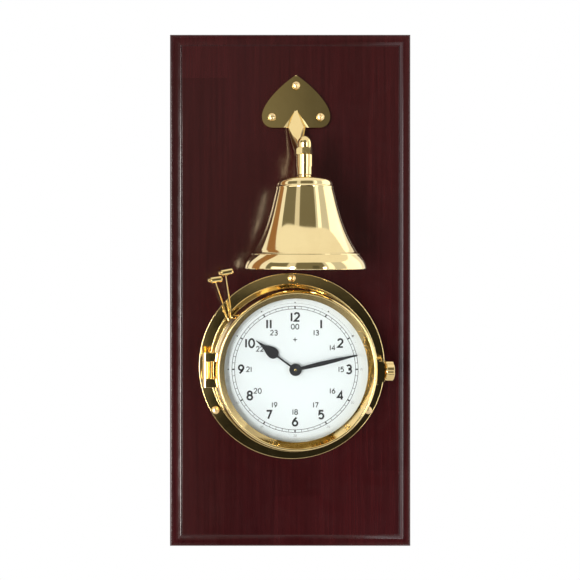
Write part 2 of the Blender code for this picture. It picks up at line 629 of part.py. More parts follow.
def make_motion_work(clock, motion, setting):
    toward = 90.0              # direction from the minute arbor to the motion wheel, and on to the setting knob
    minute = drawn("minute_arbor", gear_outline(12, MODULE_MINUTE, toward), *MINUTE_LAYER, "plain_brass", clock)
    join(minute, rod("arbor", 1.0, 29.4, 51.9, "plain_brass", clock, sides=12))

    back = toward + 180.0
    wheel = drawn("motion_wheel", gear_outline(36, MODULE_MINUTE, back + 5.0), *MINUTE_LAYER, "white_plastic",
                  motion)
    pinion = drawn("pinion", gear_outline(10, MODULE_HOUR, back), MINUTE_LAYER[1] - 0.5, HOUR_LAYER[1],
                   "white_plastic", motion)
    join(wheel, pinion, rod("pivot", 0.8, 29.4, 46.0, "white_plastic", motion, sides=12))

    hour = drawn("hour_wheel", gear_outline(40, MODULE_HOUR, toward + 4.5), *HOUR_LAYER, "white_plastic", clock)
    join(hour, rod("pipe", 2.2, HOUR_LAYER[0] + 0.4, 50.9, "white_plastic", clock, sides=16))
    carve(hour, rod("bore", 1.4, HOUR_LAYER[0] - 1, 52, "steel", clock, sides=12))

    knob = drawn("setting_knob", gear_outline(12, MODULE_MINUTE, back), *MINUTE_LAYER, "black_plastic", setting)
    join(knob, rod("shaft", 1.2, 26.0, 43.5, "black_plastic", setting, sides=12),
         rod("grip", 5.0, 25.0, 28.2, "black_plastic", setting, sides=20))


def make_movement(clock):
    half = MOVEMENT_HALF
    wall = 1.3
    inside = (-half + wall, half - wall)
    housing = block("movement_housing", (-half, half), (MOVEMENT_BACK, MOVEMENT_FRONT), (-half, half),
                    "black_plastic", clock)
    carve(housing, block("cavity", inside, (MOVEMENT_BACK - 1, MOVEMENT_FRONT - wall), inside,
                         "black_plastic", clock))
    join(housing, rod("stud", 4.0, MOVEMENT_FRONT - 0.5, 49.6, "black_plastic", clock, sides=24))
    carve(housing, rod("bore", 2.6, 44, 50.5, "steel", clock, sides=16),
          rod("pivot_hole", 1.1, 44, 46.3, "steel", clock, sides=12, centre=(0, MOTION_AXIS_UP)))
    cover = block("movement_cover", (-half, half), (28.9, MOVEMENT_BACK - GAP), (-half, half),
                  "black_plastic", clock)
    carve(cover, rod("hole", 1.3, 28, 31, "steel", clock, sides=12),
          rod("hole", 1.1, 28, 31, "steel", clock, sides=12, centre=(0, MOTION_AXIS_UP)),
          rod("hole", 1.5, 28, 31, "steel", clock, sides=12, centre=(0, 2 * MOTION_AXIS_UP)))
    make_cell("movement_cell", clock, (38.0, -18.5))
    rod("movement_coil", 3.6, -24.0, -5.0, "copper", clock, axis="right", sides=16, centre=(38.0, 21.0))


def make_cell(name, parent, centre):
    """An AA cell lying along X."""
    profile = [(0, -24.6), (7.1, -24.6), (7.1, 23.6), (2.7, 23.6), (2.7, 25.0), (0, 25.0)]
    return turned(name, profile, "cell_wrap", parent, axis="right", sides=20, centre=centre)


# ---------------------------------------------------------------------------------------------
# Strike work
# ---------------------------------------------------------------------------------------------

PILLARS = ((-65.8, 8.4), (-42.0, 42.0))
STRIKE_SCREWS = ((-60.0, -14.0), (-30.0, 44.0))
COIL_LOW, COIL_HIGH = -14.0, 3.5      # coil ends, from the clock's centre
CHEEK = 1.6                           # thickness of the solenoid frame
PLATE_BACK, PLATE_TOP = 20.6, 22.0


def make_strike_frame(clock, arbor):
    plate = drawn("strike_plate", hull_outline([*PILLARS, *STRIKE_SCREWS, (-32.0, -14.0)], 6.0), PLATE_BACK,
                  PLATE_TOP, "steel", clock)
    carve(plate, rod("arbor_hole", ARBOR_RADIUS + GAP, 19, 23, "steel", arbor),
          *[screw_hole(clock, right, up, 19, 23) for right, up in STRIKE_SCREWS])
    for label, (right, up) in zip(("lower", "upper"), STRIKE_SCREWS):
        wood_screw(f"strike_plate_screw_{label}", clock, right, up, PLATE_TOP + GAP, 9.0, turn=20,
                   finish="steel")

    bridge = drawn("hammer_bridge", hull_outline([*PILLARS, (ARBOR_RIGHT, ARBOR_UP)], 3.2), 44.5, 45.9,
                   "plain_brass", clock)
    join(bridge, *[rod("pillar", 2.4, PLATE_TOP + GAP, 45.0, "plain_brass", clock, centre=point)
                   for point in PILLARS])
    carve(bridge, rod("arbor_hole", ARBOR_RADIUS + GAP, 43, 47, "steel", arbor))

    shoulder = HAMMERS["left"]["hub"][0] - GAP
    arbor_profile = [(0, PLATE_BACK), (ARBOR_RADIUS, PLATE_BACK), (ARBOR_RADIUS, PLATE_TOP + GAP),
                     (3.0, PLATE_TOP + GAP), (3.0, shoulder), (ARBOR_RADIUS, shoulder), (ARBOR_RADIUS, 46.3),
                     (0, 46.3)]
    turned("hammer_arbor", arbor_profile, "steel", arbor, sides=16)


def rod_route(hammer):
    """Flat inside the case, then bent forward to the bell; the points are (right, out, up)."""
    level = sum(hammer["hub"]) / 2
    stops = [(HUB_RADIUS + GAP, level), (ROD_BEND - 3.0, level), (ROD_BEND, level + 1.3)]
    stops.append((hammer["reach"] - 2.3, hammer["head_out"] - 2.4))
    route = []
    for along, out in stops:
        right, up = polar(along, hammer["angle"])
        route.append((right, out, up))
    return route


def make_hammer(label, hammer, arbor):
    low, high = hammer["hub"]
    tail = hammer["tail"]
    hub = ring(f"hammer_hub_{label}", ARBOR_RADIUS + GAP, HUB_RADIUS, low, high, "plain_brass", arbor)
    arm = drawn("arm", [(3.0, -1.6), (tail, -1.6), (tail + 1.6, 0.0), (tail, 1.6), (3.0, 1.6)], high - 1.6,
                high - 0.1, "plain_brass", arbor)
    pin = rod("pin", 1.0, 30.6, high - 1.0, "plain_brass", arbor, sides=12, centre=(tail, 0.0))
    join(hub, arm, pin)
    wire(f"hammer_rod_{label}", rod_route(hammer), ROD_RADIUS, "polished_brass", arbor)

    profile = [(0, -6.2), (1.2, -6.2), (1.6, -5.8), (1.6, -4.4), (1.1, -4.0), (1.1, -3.7), (2.3, -3.7),
               (HEAD_RADIUS, -3.2), (HEAD_RADIUS, 6.4), (2.0, 7.2), (0, 7.2)]
    head = turned(f"hammer_head_{label}", profile, "polished_brass", arbor, axis="right", sides=16)
    socket = wire("socket", [(0, -6.0, -6.0), (0, 0.6, 0.6)], ROD_RADIUS + GAP, "polished_brass", arbor)
    carve(head, socket)
    head.data.transform(Matrix.Rotation(math.radians(-hammer["tilt"]), 4, "Y"))
    right, up = polar(hammer["reach"], hammer["angle"])
    head.location = at(right, hammer["head_out"], up)


def make_solenoids(clock):
    low, high = COIL_LOW - CHEEK - GAP, COIL_HIGH + CHEEK + GAP
    front = SOLENOID_OUT + COIL_RADIUS
    axes = {label: ARBOR_RIGHT + hammer["tail"] for label, hammer in HAMMERS.items()}
    section = [(PLATE_TOP + GAP, low), (front, low), (front, low + CHEEK), (24.2, low + CHEEK),
               (24.2, high - CHEEK), (front, high - CHEEK), (front, high), (PLATE_TOP + GAP, high)]
    frame = drawn("solenoid_frame", section, axes["left"] - 5.4, axes["right"] + 5.4, "steel", clock,
                  axis="right")
    carve(frame, *[rod("hole", PLUNGER_RADIUS + GAP, COIL_LOW - 5, COIL_HIGH + 5, "steel", clock, axis="up",
                       centre=(right, SOLENOID_OUT)) for right in axes.values()])
    for label, right in axes.items():
        centre = (right, SOLENOID_OUT)
        ring(f"solenoid_coil_{label}", PLUNGER_RADIUS + GAP, COIL_RADIUS, COIL_LOW, COIL_HIGH, "copper", clock,
             axis="up", sides=20, centre=centre)
        eye_low = ARBOR_UP - 3.0
        plunger = rod(f"solenoid_plunger_{label}", PLUNGER_RADIUS, COIL_LOW + 6.0, eye_low + 0.5, "steel",
                      clock, axis="up", centre=centre)
        join(plunger, block("eye", (right - 3.6, right + 3.6), (SOLENOID_OUT - 2.6, SOLENOID_OUT + 2.6),
                            (eye_low, ARBOR_UP + 3.0), "steel", clock))
        carve(plunger, block("slot", (right - 2.0, right + 2.0), (20, 45), (ARBOR_UP - 1.3, ARBOR_UP + 1.3),
                             "steel", clock))
        make_spring(f"return_spring_{label}", clock, centre, high + GAP, eye_low - GAP)


def make_spring(name, parent, centre, low, high):
    """An open coil spring round the plunger, between the frame and the eye."""
    turns, wire_radius, coil_radius = 4, 0.3, PLUNGER_RADIUS + 0.8
    steps = turns * 9
    bottom, top = low + wire_radius, high - wire_radius
    points = []
    for index in range(steps + 1):
        right, out = polar(coil_radius, 40.0 * index)
        points.append((centre[0] + right, centre[1] + out, bottom + (top - bottom) * index / steps))
    return wire(name, points, wire_radius, "steel", parent, smoothness=0)


def make_strike_power(clock):
    board = block("strike_circuit_board", (37.0, 66.0), (PLATE_BACK, PLATE_TOP), (-24.0, 24.0),
                  "circuit_green", clock)
    join(board, block("chip", (44.0, 56.0), (PLATE_TOP - 0.5, PLATE_TOP + 2.5), (-6.0, 10.0), "circuit_green",
                      clock),
         rod("capacitor", 4.0, PLATE_TOP - 0.5, PLATE_TOP + 11.0, "circuit_green", clock, centre=(58.0, -16.0)))
    holder = block("strike_cell_holder", (-27.0, 27.0), (PLATE_BACK, 33.0), (-60.5, -43.5), "black_plastic",
                   clock)
    carve(holder, block("trough", (-25.4, 25.4), (22.2, 34.0), (-59.2, -44.8), "black_plastic", clock))
    make_cell("strike_cell", clock, (29.8, -52.0))


# ---------------------------------------------------------------------------------------------
# Assembly
# ---------------------------------------------------------------------------------------------

def main():
    clear_scene()
    root = axis_empty("board_axis")
    clock = axis_empty("clock_axis", CLOCK_RIGHT, 0.0, CLOCK_UP)
    door = axis_empty("door_hinge_axis", CLOCK_RIGHT + DOOR_AXIS_RIGHT, DOOR_AXIS_OUT, CLOCK_UP)
    latch = axis_empty("thumbscrew_axis", CLOCK_RIGHT, LATCH_OUT, CLOCK_UP + LATCH_UP)
    motion = axis_empty("motion_axis", CLOCK_RIGHT, 0.0, CLOCK_UP + MOTION_AXIS_UP)
    setting = axis_empty("setting_axis", CLOCK_RIGHT, 0.0, CLOCK_UP + 2 * MOTION_AXIS_UP)
    arbor = axis_empty("hammer_axis", CLOCK_RIGHT + ARBOR_RIGHT, 0.0, CLOCK_UP + ARBOR_UP)
    bell = axis_empty("bell_axis", BELL_RIGHT, BELL_OUT, 0.0)
    bracket_screws = axis_empty("bracket_screw_axis", BELL_RIGHT, 0.0, 0.0)

    make_board(root, clock, bracket_screws)
    make_hanger(root)
    make_bell(bell)
    make_bracket(bell)
    for label, (right, up) in BRACKET_SCREWS.items():
        wood_screw(f"bracket_screw_{label}", bracket_screws, right, up, PLATE_FRONT + GAP, 6.0,
                   turn=40 + 2 * right)
    make_case(clock, door)
    make_door(door)
    make_thumbscrew(latch)
    make_dial(clock)
    make_hands(clock)
    make_movement(clock)
    make_motion_work(clock, motion, setting)
    make_strike_frame(clock, arbor)
    for label, hammer in HAMMERS.items():
        make_hammer(label, hammer, arbor)
    make_solenoids(clock)
    make_strike_power(clock)


main()
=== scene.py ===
"""The finished looks of a ship's bell clock and its bell on a mahogany wall board.

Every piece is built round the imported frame: its axis comes from the CAD node that it replaces.
Sizes are millimetres, given as (right, out, up): "out" is the distance in front of the wall.
"""

import json
import math

import bmesh
import bpy
from mathutils import Matrix, Vector


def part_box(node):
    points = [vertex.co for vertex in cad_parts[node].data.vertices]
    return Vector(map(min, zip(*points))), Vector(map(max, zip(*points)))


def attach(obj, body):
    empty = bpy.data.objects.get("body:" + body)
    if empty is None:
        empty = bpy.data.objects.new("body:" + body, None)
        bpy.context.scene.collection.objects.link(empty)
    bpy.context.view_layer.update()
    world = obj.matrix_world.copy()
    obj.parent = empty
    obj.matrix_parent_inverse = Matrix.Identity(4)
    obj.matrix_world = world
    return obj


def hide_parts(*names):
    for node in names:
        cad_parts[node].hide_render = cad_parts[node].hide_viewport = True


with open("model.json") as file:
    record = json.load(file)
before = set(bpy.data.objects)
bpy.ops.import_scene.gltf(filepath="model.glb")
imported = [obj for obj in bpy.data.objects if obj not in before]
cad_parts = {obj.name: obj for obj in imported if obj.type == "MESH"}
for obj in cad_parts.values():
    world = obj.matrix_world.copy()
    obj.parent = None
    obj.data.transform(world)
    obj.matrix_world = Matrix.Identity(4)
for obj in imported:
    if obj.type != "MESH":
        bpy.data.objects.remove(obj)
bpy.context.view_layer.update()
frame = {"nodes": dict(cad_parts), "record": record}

MM = 0.001
TINY = 1e-6
GAP = 0.3          # between a pin and its bore, and between pieces that touch on the real object
FACE_STEP = 0.02   # keeps two faces that are joined from lying in one plane
BODY_OF = {node: body for body, nodes in frame["record"]["behaviour"]["bodies"].items() for node in nodes}
SLOT_OF = {part["node"]: part["material_slot"] for part in frame["record"]["subparts"]}


# ---- Places, taken from the frame ------------

def middle(node):
    """The middle of a CAD node, as (right, out, up)."""
    low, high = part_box(node)
    centre = (low + high) / 2 / MM
    return centre.x, -centre.y, centre.z


def axis(node, *directions):
    """The middle of a CAD node, with only the named directions kept."""
    return tuple(value if name in directions else 0.0
                 for name, value in zip(("right", "out", "up"), middle(node)))


BOARD_AXIS = (0.0, 0.0, 0.0)
CLOCK_AXIS = axis("dial", "right", "up")
DOOR_AXIS = middle("hinge_pin")
LATCH_AXIS = (CLOCK_AXIS[0], *axis("thumbscrew_washer", "out", "up")[1:])
BELL_AXIS = axis("bell", "right", "out")
BRACKET_AXIS = axis("bell", "right")
HAMMER_AXIS = axis("hammer_arbor", "right", "up")
DOOR_RIGHT = DOOR_AXIS[0] - CLOCK_AXIS[0]


# ---- Outlines --------------------------------

def at(right, out, up):
    """A point of the frame, in metres."""
    return Vector((right * MM, -out * MM, up * MM))


def polar(radius, degrees):
    angle = math.radians(degrees)
    return radius * math.cos(angle), radius * math.sin(angle)


def oval(centre, reach, first, last, steps=16):
    """Points round an upright oval, from one angle to another."""
    points = []
    for index in range(steps + 1):
        angle = math.radians(first + (last - first) * index / steps)
        points.append((centre[0] + reach[0] * math.cos(angle), centre[1] + reach[1] * math.sin(angle)))
    return points


def arc(centre, radius, first, last, steps):
    return oval(centre, (radius, radius), first, last, steps)


def bezier(start, first, second, end, steps):
    """Points along a cubic curve, without its last one."""
    points = []
    for index in range(steps):
        t = index / steps
        weights = ((1 - t) ** 3, 3 * t * (1 - t) ** 2, 3 * t * t * (1 - t), t ** 3)
        points.append(tuple(sum(weight * value for weight, value in zip(weights, values))
                            for values in zip(start, first, second, end)))
    return points


def rounded(outline, closed=True, steps=4):
    """An outline whose corners, given as (first, second, reach), are eased into curves of that reach."""
    points = []
    count = len(outline)
    for index, corner in enumerate(outline):
        here = Vector(corner[:2])
        if len(corner) < 3 or (not closed and index in (0, count - 1)):
            points.append(tuple(here))
            continue
        reach = corner[2]
        start = here + (Vector(outline[index - 1][:2]) - here).normalized() * reach
        end = here + (Vector(outline[(index + 1) % count][:2]) - here).normalized() * reach
        for step in range(steps + 1):
            t = step / steps
            points.append(tuple(start * (1 - t) ** 2 + here * (2 * t * (1 - t)) + end * t * t))
    return points


def mirrored(half):
    """A closed outline from its right half, bottom to top; ends on the middle line aren't doubled."""
    left = [(-right, up) for right, up in reversed(half) if abs(right) > TINY]
    return list(half) + left


def clockwise(outline, degrees):
    """Turn an outline that points to twelve to a dial angle."""
    turn = Matrix.Rotation(math.radians(-degrees), 2)
    return [tuple(turn @ Vector(point)) for point in outline]


# ---- Solids ----------------------------------

# A point from its place across an axis, as two numbers, and its place along that axis
ALONG = {
    "out": lambda first, second, along: at(first, along, second),
    "up": lambda first, second, along: at(first, second, along),
    "right": lambda first, second, along: at(along, first, second),
}


def solid(shape):
    """An object from a finished bmesh."""
    bmesh.ops.recalc_face_normals(shape, faces=shape.faces)
    mesh = bpy.data.meshes.new("shape")
    shape.to_mesh(mesh)
    shape.free()
    item = bpy.data.objects.new("shape", mesh)
    bpy.context.scene.collection.objects.link(item)
    return item


def skin(shape, rings, closed):
    """Faces between neighbouring rings of vertices; a ring on the axis repeats one vertex."""
    following = rings[1:] + rings[:1] if closed else rings[1:]
    for ring, beyond in zip(rings, following):
        for index in range(len(ring)):
            after = (index + 1) % len(ring)
            corners = list(dict.fromkeys([ring[index], ring[after], beyond[after], beyond[index]]))
            if len(corners) > 2:
                shape.faces.new(corners)


def turned(profile, axis="out", sides=96, centre=(0.0, 0.0)):
    """A solid of revolution; profile is its half section as (radius, along) pairs."""
    shape = bmesh.new()
    spot = ALONG[axis]
    across = spot(*centre, 0.0)
    angles = [math.tau * index / sides for index in range(sides)]
    rings = []
    for radius, along in profile:
        if radius == 0:
            rings.append([shape.verts.new(spot(0.0, 0.0, along) + across)] * sides)
        else:
            rim = [spot(radius * math.cos(angle), radius * math.sin(angle), along) for angle in angles]
            rings.append([shape.verts.new(point + across) for point in rim])
    skin(shape, rings, closed=True)
    return solid(shape)


def rod(radius, low, high, axis="out", sides=32, centre=(0.0, 0.0), edge=0.0):
    """A cylinder from low to high along an axis, with its edges eased."""
    if edge:
        profile = rounded([(0, low), (radius, low, edge), (radius, high, edge), (0, high)], steps=3)
    else:
        profile = [(0, low), (radius, low), (radius, high), (0, high)]
    return turned(profile, axis, sides, centre)


def ring(inner, outer, low, high, axis="out", sides=96):
    """A flat ring with its edges eased."""
    edge = 0.15
    corners = [(inner, low, edge), (outer, low, edge), (outer, high, edge), (inner, high, edge)]
    return turned(rounded(corners, steps=3), axis, sides)


def drawn(outline, low, high, axis="out", edge=0.0):
    """A flat outline extruded along an axis, with its edges eased."""
    shape = bmesh.new()
    ends = [[shape.verts.new(ALONG[axis](first, second, along)) for first, second in outline]
            for along in (low, high)]
    rims = [shape.faces.new(end) for end in ends]
    skin(shape, ends, closed=False)
    if edge:
        edges = list(dict.fromkeys(side for rim in rims for side in rim.edges))
        bmesh.ops.bevel(shape, geom=edges, offset=edge * MM, segments=3, profile=0.5, affect="EDGES",
                        clamp_overlap=True)
    return solid(shape)


def block(rights, outs, ups):
    outline = [(rights[0], ups[0]), (rights[1], ups[0]), (rights[1], ups[1]), (rights[0], ups[1])]
    return drawn(outline, outs[0], outs[1])


def lofted(sections):
    """A solid through a row of closed sections, each a list of (right, out, up) points."""
    shape = bmesh.new()
    rings = [[shape.verts.new(at(*point)) for point in section] for section in sections]
    skin(shape, rings, closed=False)
    shape.faces.new(rings[0])
    shape.faces.new(rings[-1])
    return solid(shape)


def swept(path, radius):
    """A round rod along a path of (right, out, up) points, drawn in at its ends."""
    sides = 20
    points = [Vector(point) for point in path]
    sections = []
    for index, point in enumerate(points):
        along = (points[min(index + 1, len(points) - 1)] - points[max(index - 1, 0)]).normalized()
        side = along.cross(Vector((0, 0, 1))).normalized()
        other = along.cross(side)
        reach = radius * (0.6 if index in (0, len(points) - 1) else 1.0)
        sections.append([tuple(point + side * (reach * math.cos(math.tau * step / sides))
                               + other * (reach * math.sin(math.tau * step / sides)))
                         for step in range(sides)])
    return lofted(sections)


def combine(target, tools, operation):
    """Apply exact Booleans of the tools to the target, and discard the tools."""
    for tool in tools:
        modifier = target.modifiers.new(operation.lower(), "BOOLEAN")
        modifier.operation = operation
        modifier.solver = "EXACT"
        modifier.object = tool
    bpy.context.view_layer.update()
    evaluated = target.evaluated_get(bpy.context.evaluated_depsgraph_get())
    mesh = bpy.data.meshes.new_from_object(evaluated)
    target.modifiers.clear()
    target.data = mesh
    for tool in tools:
        bpy.data.objects.remove(tool, do_unlink=True)
    return target


def carve(target, *tools):
    return combine(target, tools, "DIFFERENCE")


def join(target, *tools):
    return combine(target, tools, "UNION")


def moved(item, matrix):
    item.data.transform(matrix)
    return item


def place(item, name, origin, look, body, sharp=34.0):
    """Put a shape on its axis, give it its material and hand it to the body that it rides."""
    item.data.transform(Matrix.Translation(at(*origin)))
    item.name = name
    item.data.name = name
    item.data.materials.clear()
    item.data.materials.append(look)
    item.data.shade_smooth()
    item.data.set_sharp_from_angle(angle=math.radians(sharp))
    even = item.modifiers.new("flat_faces_stay_flat", "WEIGHTED_NORMAL")
    even.keep_sharp = True
    even.weight = 80
    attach(item, body)
    return item


def stand_in(item, node, origin, look=None, sharp=34.0):
    """A finer piece that replaces a CAD node, in its slot's material unless it has a look of its own."""
    place(item, f"{node}_fine", origin, look or LOOKS[SLOT_OF[node]], BODY_OF[node], sharp)
    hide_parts(node)
    return item


# ---- Materials -------------------------------

class Nodes:
    """Short calls for a node tree. A value may be a number, a tuple or a socket."""

    def __init__(self, tree):
        self.tree = tree

    def feed(self, socket, value):
        if isinstance(value, bpy.types.NodeSocket):
            self.tree.links.new(value, socket)
        else:
            socket.default_value = value

    def add(self, kind, inputs=(), **settings):
        node = self.tree.nodes.new(kind)
        for key, value in settings.items():
            setattr(node, key, value)
        for key, value in dict(inputs).items():
            self.feed(node.inputs[key], value)
        return node

    def maths(self, operation, *values):
        node = self.add("ShaderNodeMath", operation=operation)
        for socket, value in zip(node.inputs, values):
            self.feed(socket, value)
        return node.outputs[0]

    def coordinates(self, scale):
        """Object coordinates, scaled by a number or by (x, y, z), in turns per metre."""
        scales = scale if isinstance(scale, tuple) else (scale,) * 3
        position = self.add("ShaderNodeTexCoord").outputs["Object"]
        return self.add("ShaderNodeMapping", {"Vector": position, "Scale": scales}).outputs[0]

    def noise(self, scale, detail=4.0, roughness=0.5, warp=0.0):
        inputs = {"Vector": self.coordinates(scale), "Scale": 1.0, "Detail": detail, "Roughness": roughness,
                  "Distortion": warp}
        return self.add("ShaderNodeTexNoise", inputs).outputs["Fac"]

    def span(self, value, low, high, to_low, to_high):
        """Stretch a value from one range to another, held at both ends."""
        inputs = {"Value": value, "From Min": low, "From Max": high, "To Min": to_low, "To Max": to_high}
        return self.add("ShaderNodeMapRange", inputs).outputs[0]

    def blend(self, share, first, second):
        node = self.add("ShaderNodeMix", data_type="RGBA")
        self.feed(node.inputs["Factor"], share)
        for label, value in (("A", first), ("B", second)):
            socket = next(item for item in node.inputs if item.name == label and item.type == "RGBA")
            self.feed(socket, (*value, 1.0) if isinstance(value, tuple) else value)
        return next(item for item in node.outputs if item.type == "RGBA")

    def bump(self, height, distance, strength=1.0):
        inputs = {"Height": height, "Distance": distance, "Strength": strength}
        return self.add("ShaderNodeBump", inputs).outputs[0]


class Look(Nodes):
    """A material's node tree, round its Principled shader."""

    def __init__(self, name):
        self.material = bpy.data.materials.new(name)
        self.material.use_nodes = True
        super().__init__(self.material.node_tree)
        self.shader = self.tree.nodes["Principled BSDF"]

    def finish(self, **inputs):
        names = {"colour": "Base Color", "roughness": "Roughness", "metallic": "Metallic", "normal": "Normal",
                 "coat": "Coat Weight", "coat_roughness": "Coat Roughness", "coat_ior": "Coat IOR",
                 "coat_normal": "Coat Normal", "specular": "Specular IOR Level"}
        for key, value in inputs.items():
            if key == "colour" and isinstance(value, tuple):
                value = (*value, 1.0)
            self.feed(self.shader.inputs[names[key]], value)
        return self.material


STAVE_WIDTH, STAVE_LENGTH = 0.046, 0.27         # metres, as in a material's coordinates


def mahogany():
    """Red-brown staves glued edge to edge, with upright grain and pores under a gloss lacquer."""
    look = Look("mahogany")
    coordinates = look.add("ShaderNodeTexCoord").outputs["Object"]
    parts = look.add("ShaderNodeSeparateXYZ", {"Vector": coordinates})
    across, up = parts.outputs["X"], parts.outputs["Z"]

    stave = look.maths("FLOOR", look.maths("MULTIPLY_ADD", across, 1 / STAVE_WIDTH, 0.35))
    shift = look.add("ShaderNodeTexWhiteNoise", {"W": stave}, noise_dimensions="1D").outputs["Value"]
    height = look.maths("MULTIPLY_ADD", up, 1 / STAVE_LENGTH, look.maths("MULTIPLY", shift, 3.0))
    tone_seed = look.maths("MULTIPLY_ADD", look.maths("FLOOR", height), 7.31, stave)
    tone = look.add("ShaderNodeTexWhiteNoise", {"W": tone_seed}, noise_dimensions="1D").outputs["Value"]

    streaks = look.noise((260.0, 260.0, 7.0), detail=6.0, roughness=0.6, warp=0.6)
    fine = look.noise((1500.0, 1500.0, 45.0), detail=3.0, roughness=0.6)
    clouds = look.noise((16.0, 16.0, 7.0), detail=3.0)
    base = look.blend(look.span(streaks, 0.30, 0.72, 0.0, 1.0), (0.021, 0.0026, 0.0034),
                      (0.037, 0.0050, 0.0060))
    base = look.blend(look.span(fine, 0.50, 0.80, 0.0, 0.22), base, (0.008, 0.0014, 0.0018))
    base = look.blend(look.span(clouds, 0.35, 0.70, 0.0, 0.30), base, (0.034, 0.0050, 0.0076))
    shade = look.span(tone, 0.0, 1.0, 0.84, 1.10)
    colour = look.add("ShaderNodeHueSaturation", {"Color": base, "Value": shade}).outputs[0]

    smears = look.noise(38.0, detail=5.0, roughness=0.65, warp=1.2)
    grain = look.bump(look.maths("ADD", streaks, fine), 0.00002)
    orange_peel = look.bump(look.noise(240.0, detail=2.0), 0.00002, 0.6)
    return look.finish(colour=colour, roughness=0.5, normal=grain, specular=0.0, coat=1.0, coat_ior=1.5,
                       coat_roughness=look.span(smears, 0.3, 0.7, 0.11, 0.19), coat_normal=orange_peel)


TARNISH, TARNISH_SHARE = (0.62, 0.40, 0.15), 0.25


def brass(name, colour, smooth, rough, ripple=0.00001):
    """Metal that reflects warm gold, with faint handling smudges, polishing lines and old tarnish."""
    look = Look(name)
    smudges = look.noise(75.0, detail=6.0, roughness=0.62, warp=0.8)
    patches = look.noise(24.0, detail=4.0, roughness=0.6)
    lines = look.noise((160.0, 160.0, 2600.0), detail=2.0)
    roughness = look.maths("ADD", look.span(smudges, 0.35, 0.72, smooth, rough),
                           look.span(lines, 0.3, 0.7, 0.0, (rough - smooth) * 0.35))
    tint = look.blend(look.span(patches, 0.45, 0.80, 0.0, TARNISH_SHARE), colour, TARNISH)
    wave = look.bump(look.noise(110.0, detail=2.0), ripple)
    return look.finish(colour=tint, roughness=roughness, metallic=1.0, normal=wave)


def plain_metal(name, colour, low, high):
    """Unpolished metal with fine upright mill lines; low and high are its roughness."""
    look = Look(name)
    mill = look.noise((900.0, 900.0, 54.0), detail=4.0)
    spots = look.noise(60.0, detail=4.0)
    tint = look.blend(look.span(spots, 0.4, 0.8, 0.0, 0.35), colour, tuple(part * 0.7 for part in colour))
    return look.finish(colour=tint, roughness=look.span(mill, 0.3, 0.7, low, high), metallic=1.0,
                       normal=look.bump(mill, 0.00002, 0.6))


def enamel(name, colour, shade, roughness, texture=300.0, depth=0.00001):
    """A painted or moulded surface with a faint texture."""
    look = Look(name)
    cloud = look.noise(20.0, detail=3.0)
    surface = look.noise(texture, detail=3.0)
    return look.finish(colour=look.blend(look.span(cloud, 0.3, 0.7, 0.0, 1.0), colour, shade),
                       roughness=look.span(surface, 0.3, 0.7, roughness * 0.85, roughness * 1.15),
                       normal=look.bump(surface, depth, 0.7))


def ink(name, dense, thin):
    """Matt ink, a little thinner where the pad lifted."""
    look = Look(name)
    lift = look.span(look.noise(900.0, detail=3.0), 0.3, 0.8, 0.0, 1.0)
    return look.finish(colour=look.blend(lift, dense, thin), roughness=0.55)


def winding():
    """Enamelled copper wire, wound in close turns."""
    look = Look("copper_winding")
    wave = look.add("ShaderNodeTexWave",
                    {"Vector": look.coordinates(1.0), "Scale": 900.0, "Distortion": 0.4},
                    bands_direction="Z").outputs["Fac"]
    return look.finish(colour=look.blend(wave, (0.22, 0.07, 0.025), (0.60, 0.25, 0.10)), roughness=0.35,
                       metallic=1.0, normal=look.bump(wave, 0.0001))


def circuit():
    """Green solder mask over copper tracks."""
    look = Look("solder_mask")
    tracks = look.add("ShaderNodeTexBrick",
                      {"Vector": look.coordinates(1.0), "Scale": 260.0, "Mortar Size": 0.08}).outputs["Fac"]
    return look.finish(colour=look.blend(tracks, (0.012, 0.105, 0.040), (0.03, 0.22, 0.085)), roughness=0.38,
                       coat=0.6, coat_roughness=0.12, normal=look.bump(tracks, 0.00003))


def clear_glass():
    """Flat glass: it mirrors by angle and lets the rest straight through."""
    look = Look("clear_glass")
    smears = look.noise(30.0, detail=5.0, roughness=0.6)
    gloss = look.span(smears, 0.4, 0.8, 0.0, 0.03)
    mirror = look.add("ShaderNodeBsdfGlossy", {"Color": (1.0, 1.0, 1.0, 1.0), "Roughness": gloss})
    through = look.add("ShaderNodeBsdfTransparent", {"Color": (0.985, 0.995, 0.995, 1.0)})
    angle = look.add("ShaderNodeFresnel", {"IOR": 1.5}).outputs[0]
    mix = look.add("ShaderNodeMixShader", {"Fac": angle})
    look.feed(mix.inputs[1], through.outputs[0])
    look.feed(mix.inputs[2], mirror.outputs[0])
    look.feed(look.tree.nodes["Material Output"].inputs["Surface"], mix.outputs[0])
    look.tree.nodes.remove(look.shader)
    return look.material


LOOKS = {
    "mahogany": mahogany(),
    "polished_brass": brass("polished_brass", (0.90, 0.70, 0.33), 0.035, 0.10),
    "plain_brass": plain_metal("plain_brass", (0.72, 0.53, 0.24), 0.22, 0.38),
    "steel": plain_metal("steel", (0.55, 0.56, 0.58), 0.20, 0.36),
    "white_enamel": enamel("white_enamel", (0.83, 0.865, 0.885), (0.80, 0.84, 0.865), 0.42),
    "black_enamel": enamel("black_enamel", (0.012, 0.012, 0.015), (0.018, 0.018, 0.022), 0.42),
    "glass": clear_glass(),
    "black_plastic": enamel("black_plastic", (0.018, 0.018, 0.019), (0.026, 0.026, 0.027), 0.45, 900.0,
                            0.00003),
    "white_plastic": enamel("white_plastic", (0.72, 0.71, 0.67), (0.66, 0.65, 0.60), 0.40, 500.0),
    "copper": winding(),
    "circuit_green": circuit(),
    "cell_wrap": enamel("cell_wrap", (0.045, 0.065, 0.13), (0.055, 0.078, 0.15), 0.30, 700.0),
}
BELL_BRASS = brass("bell_brass", (0.91, 0.74, 0.39), 0.03, 0.085, ripple=0.000006)
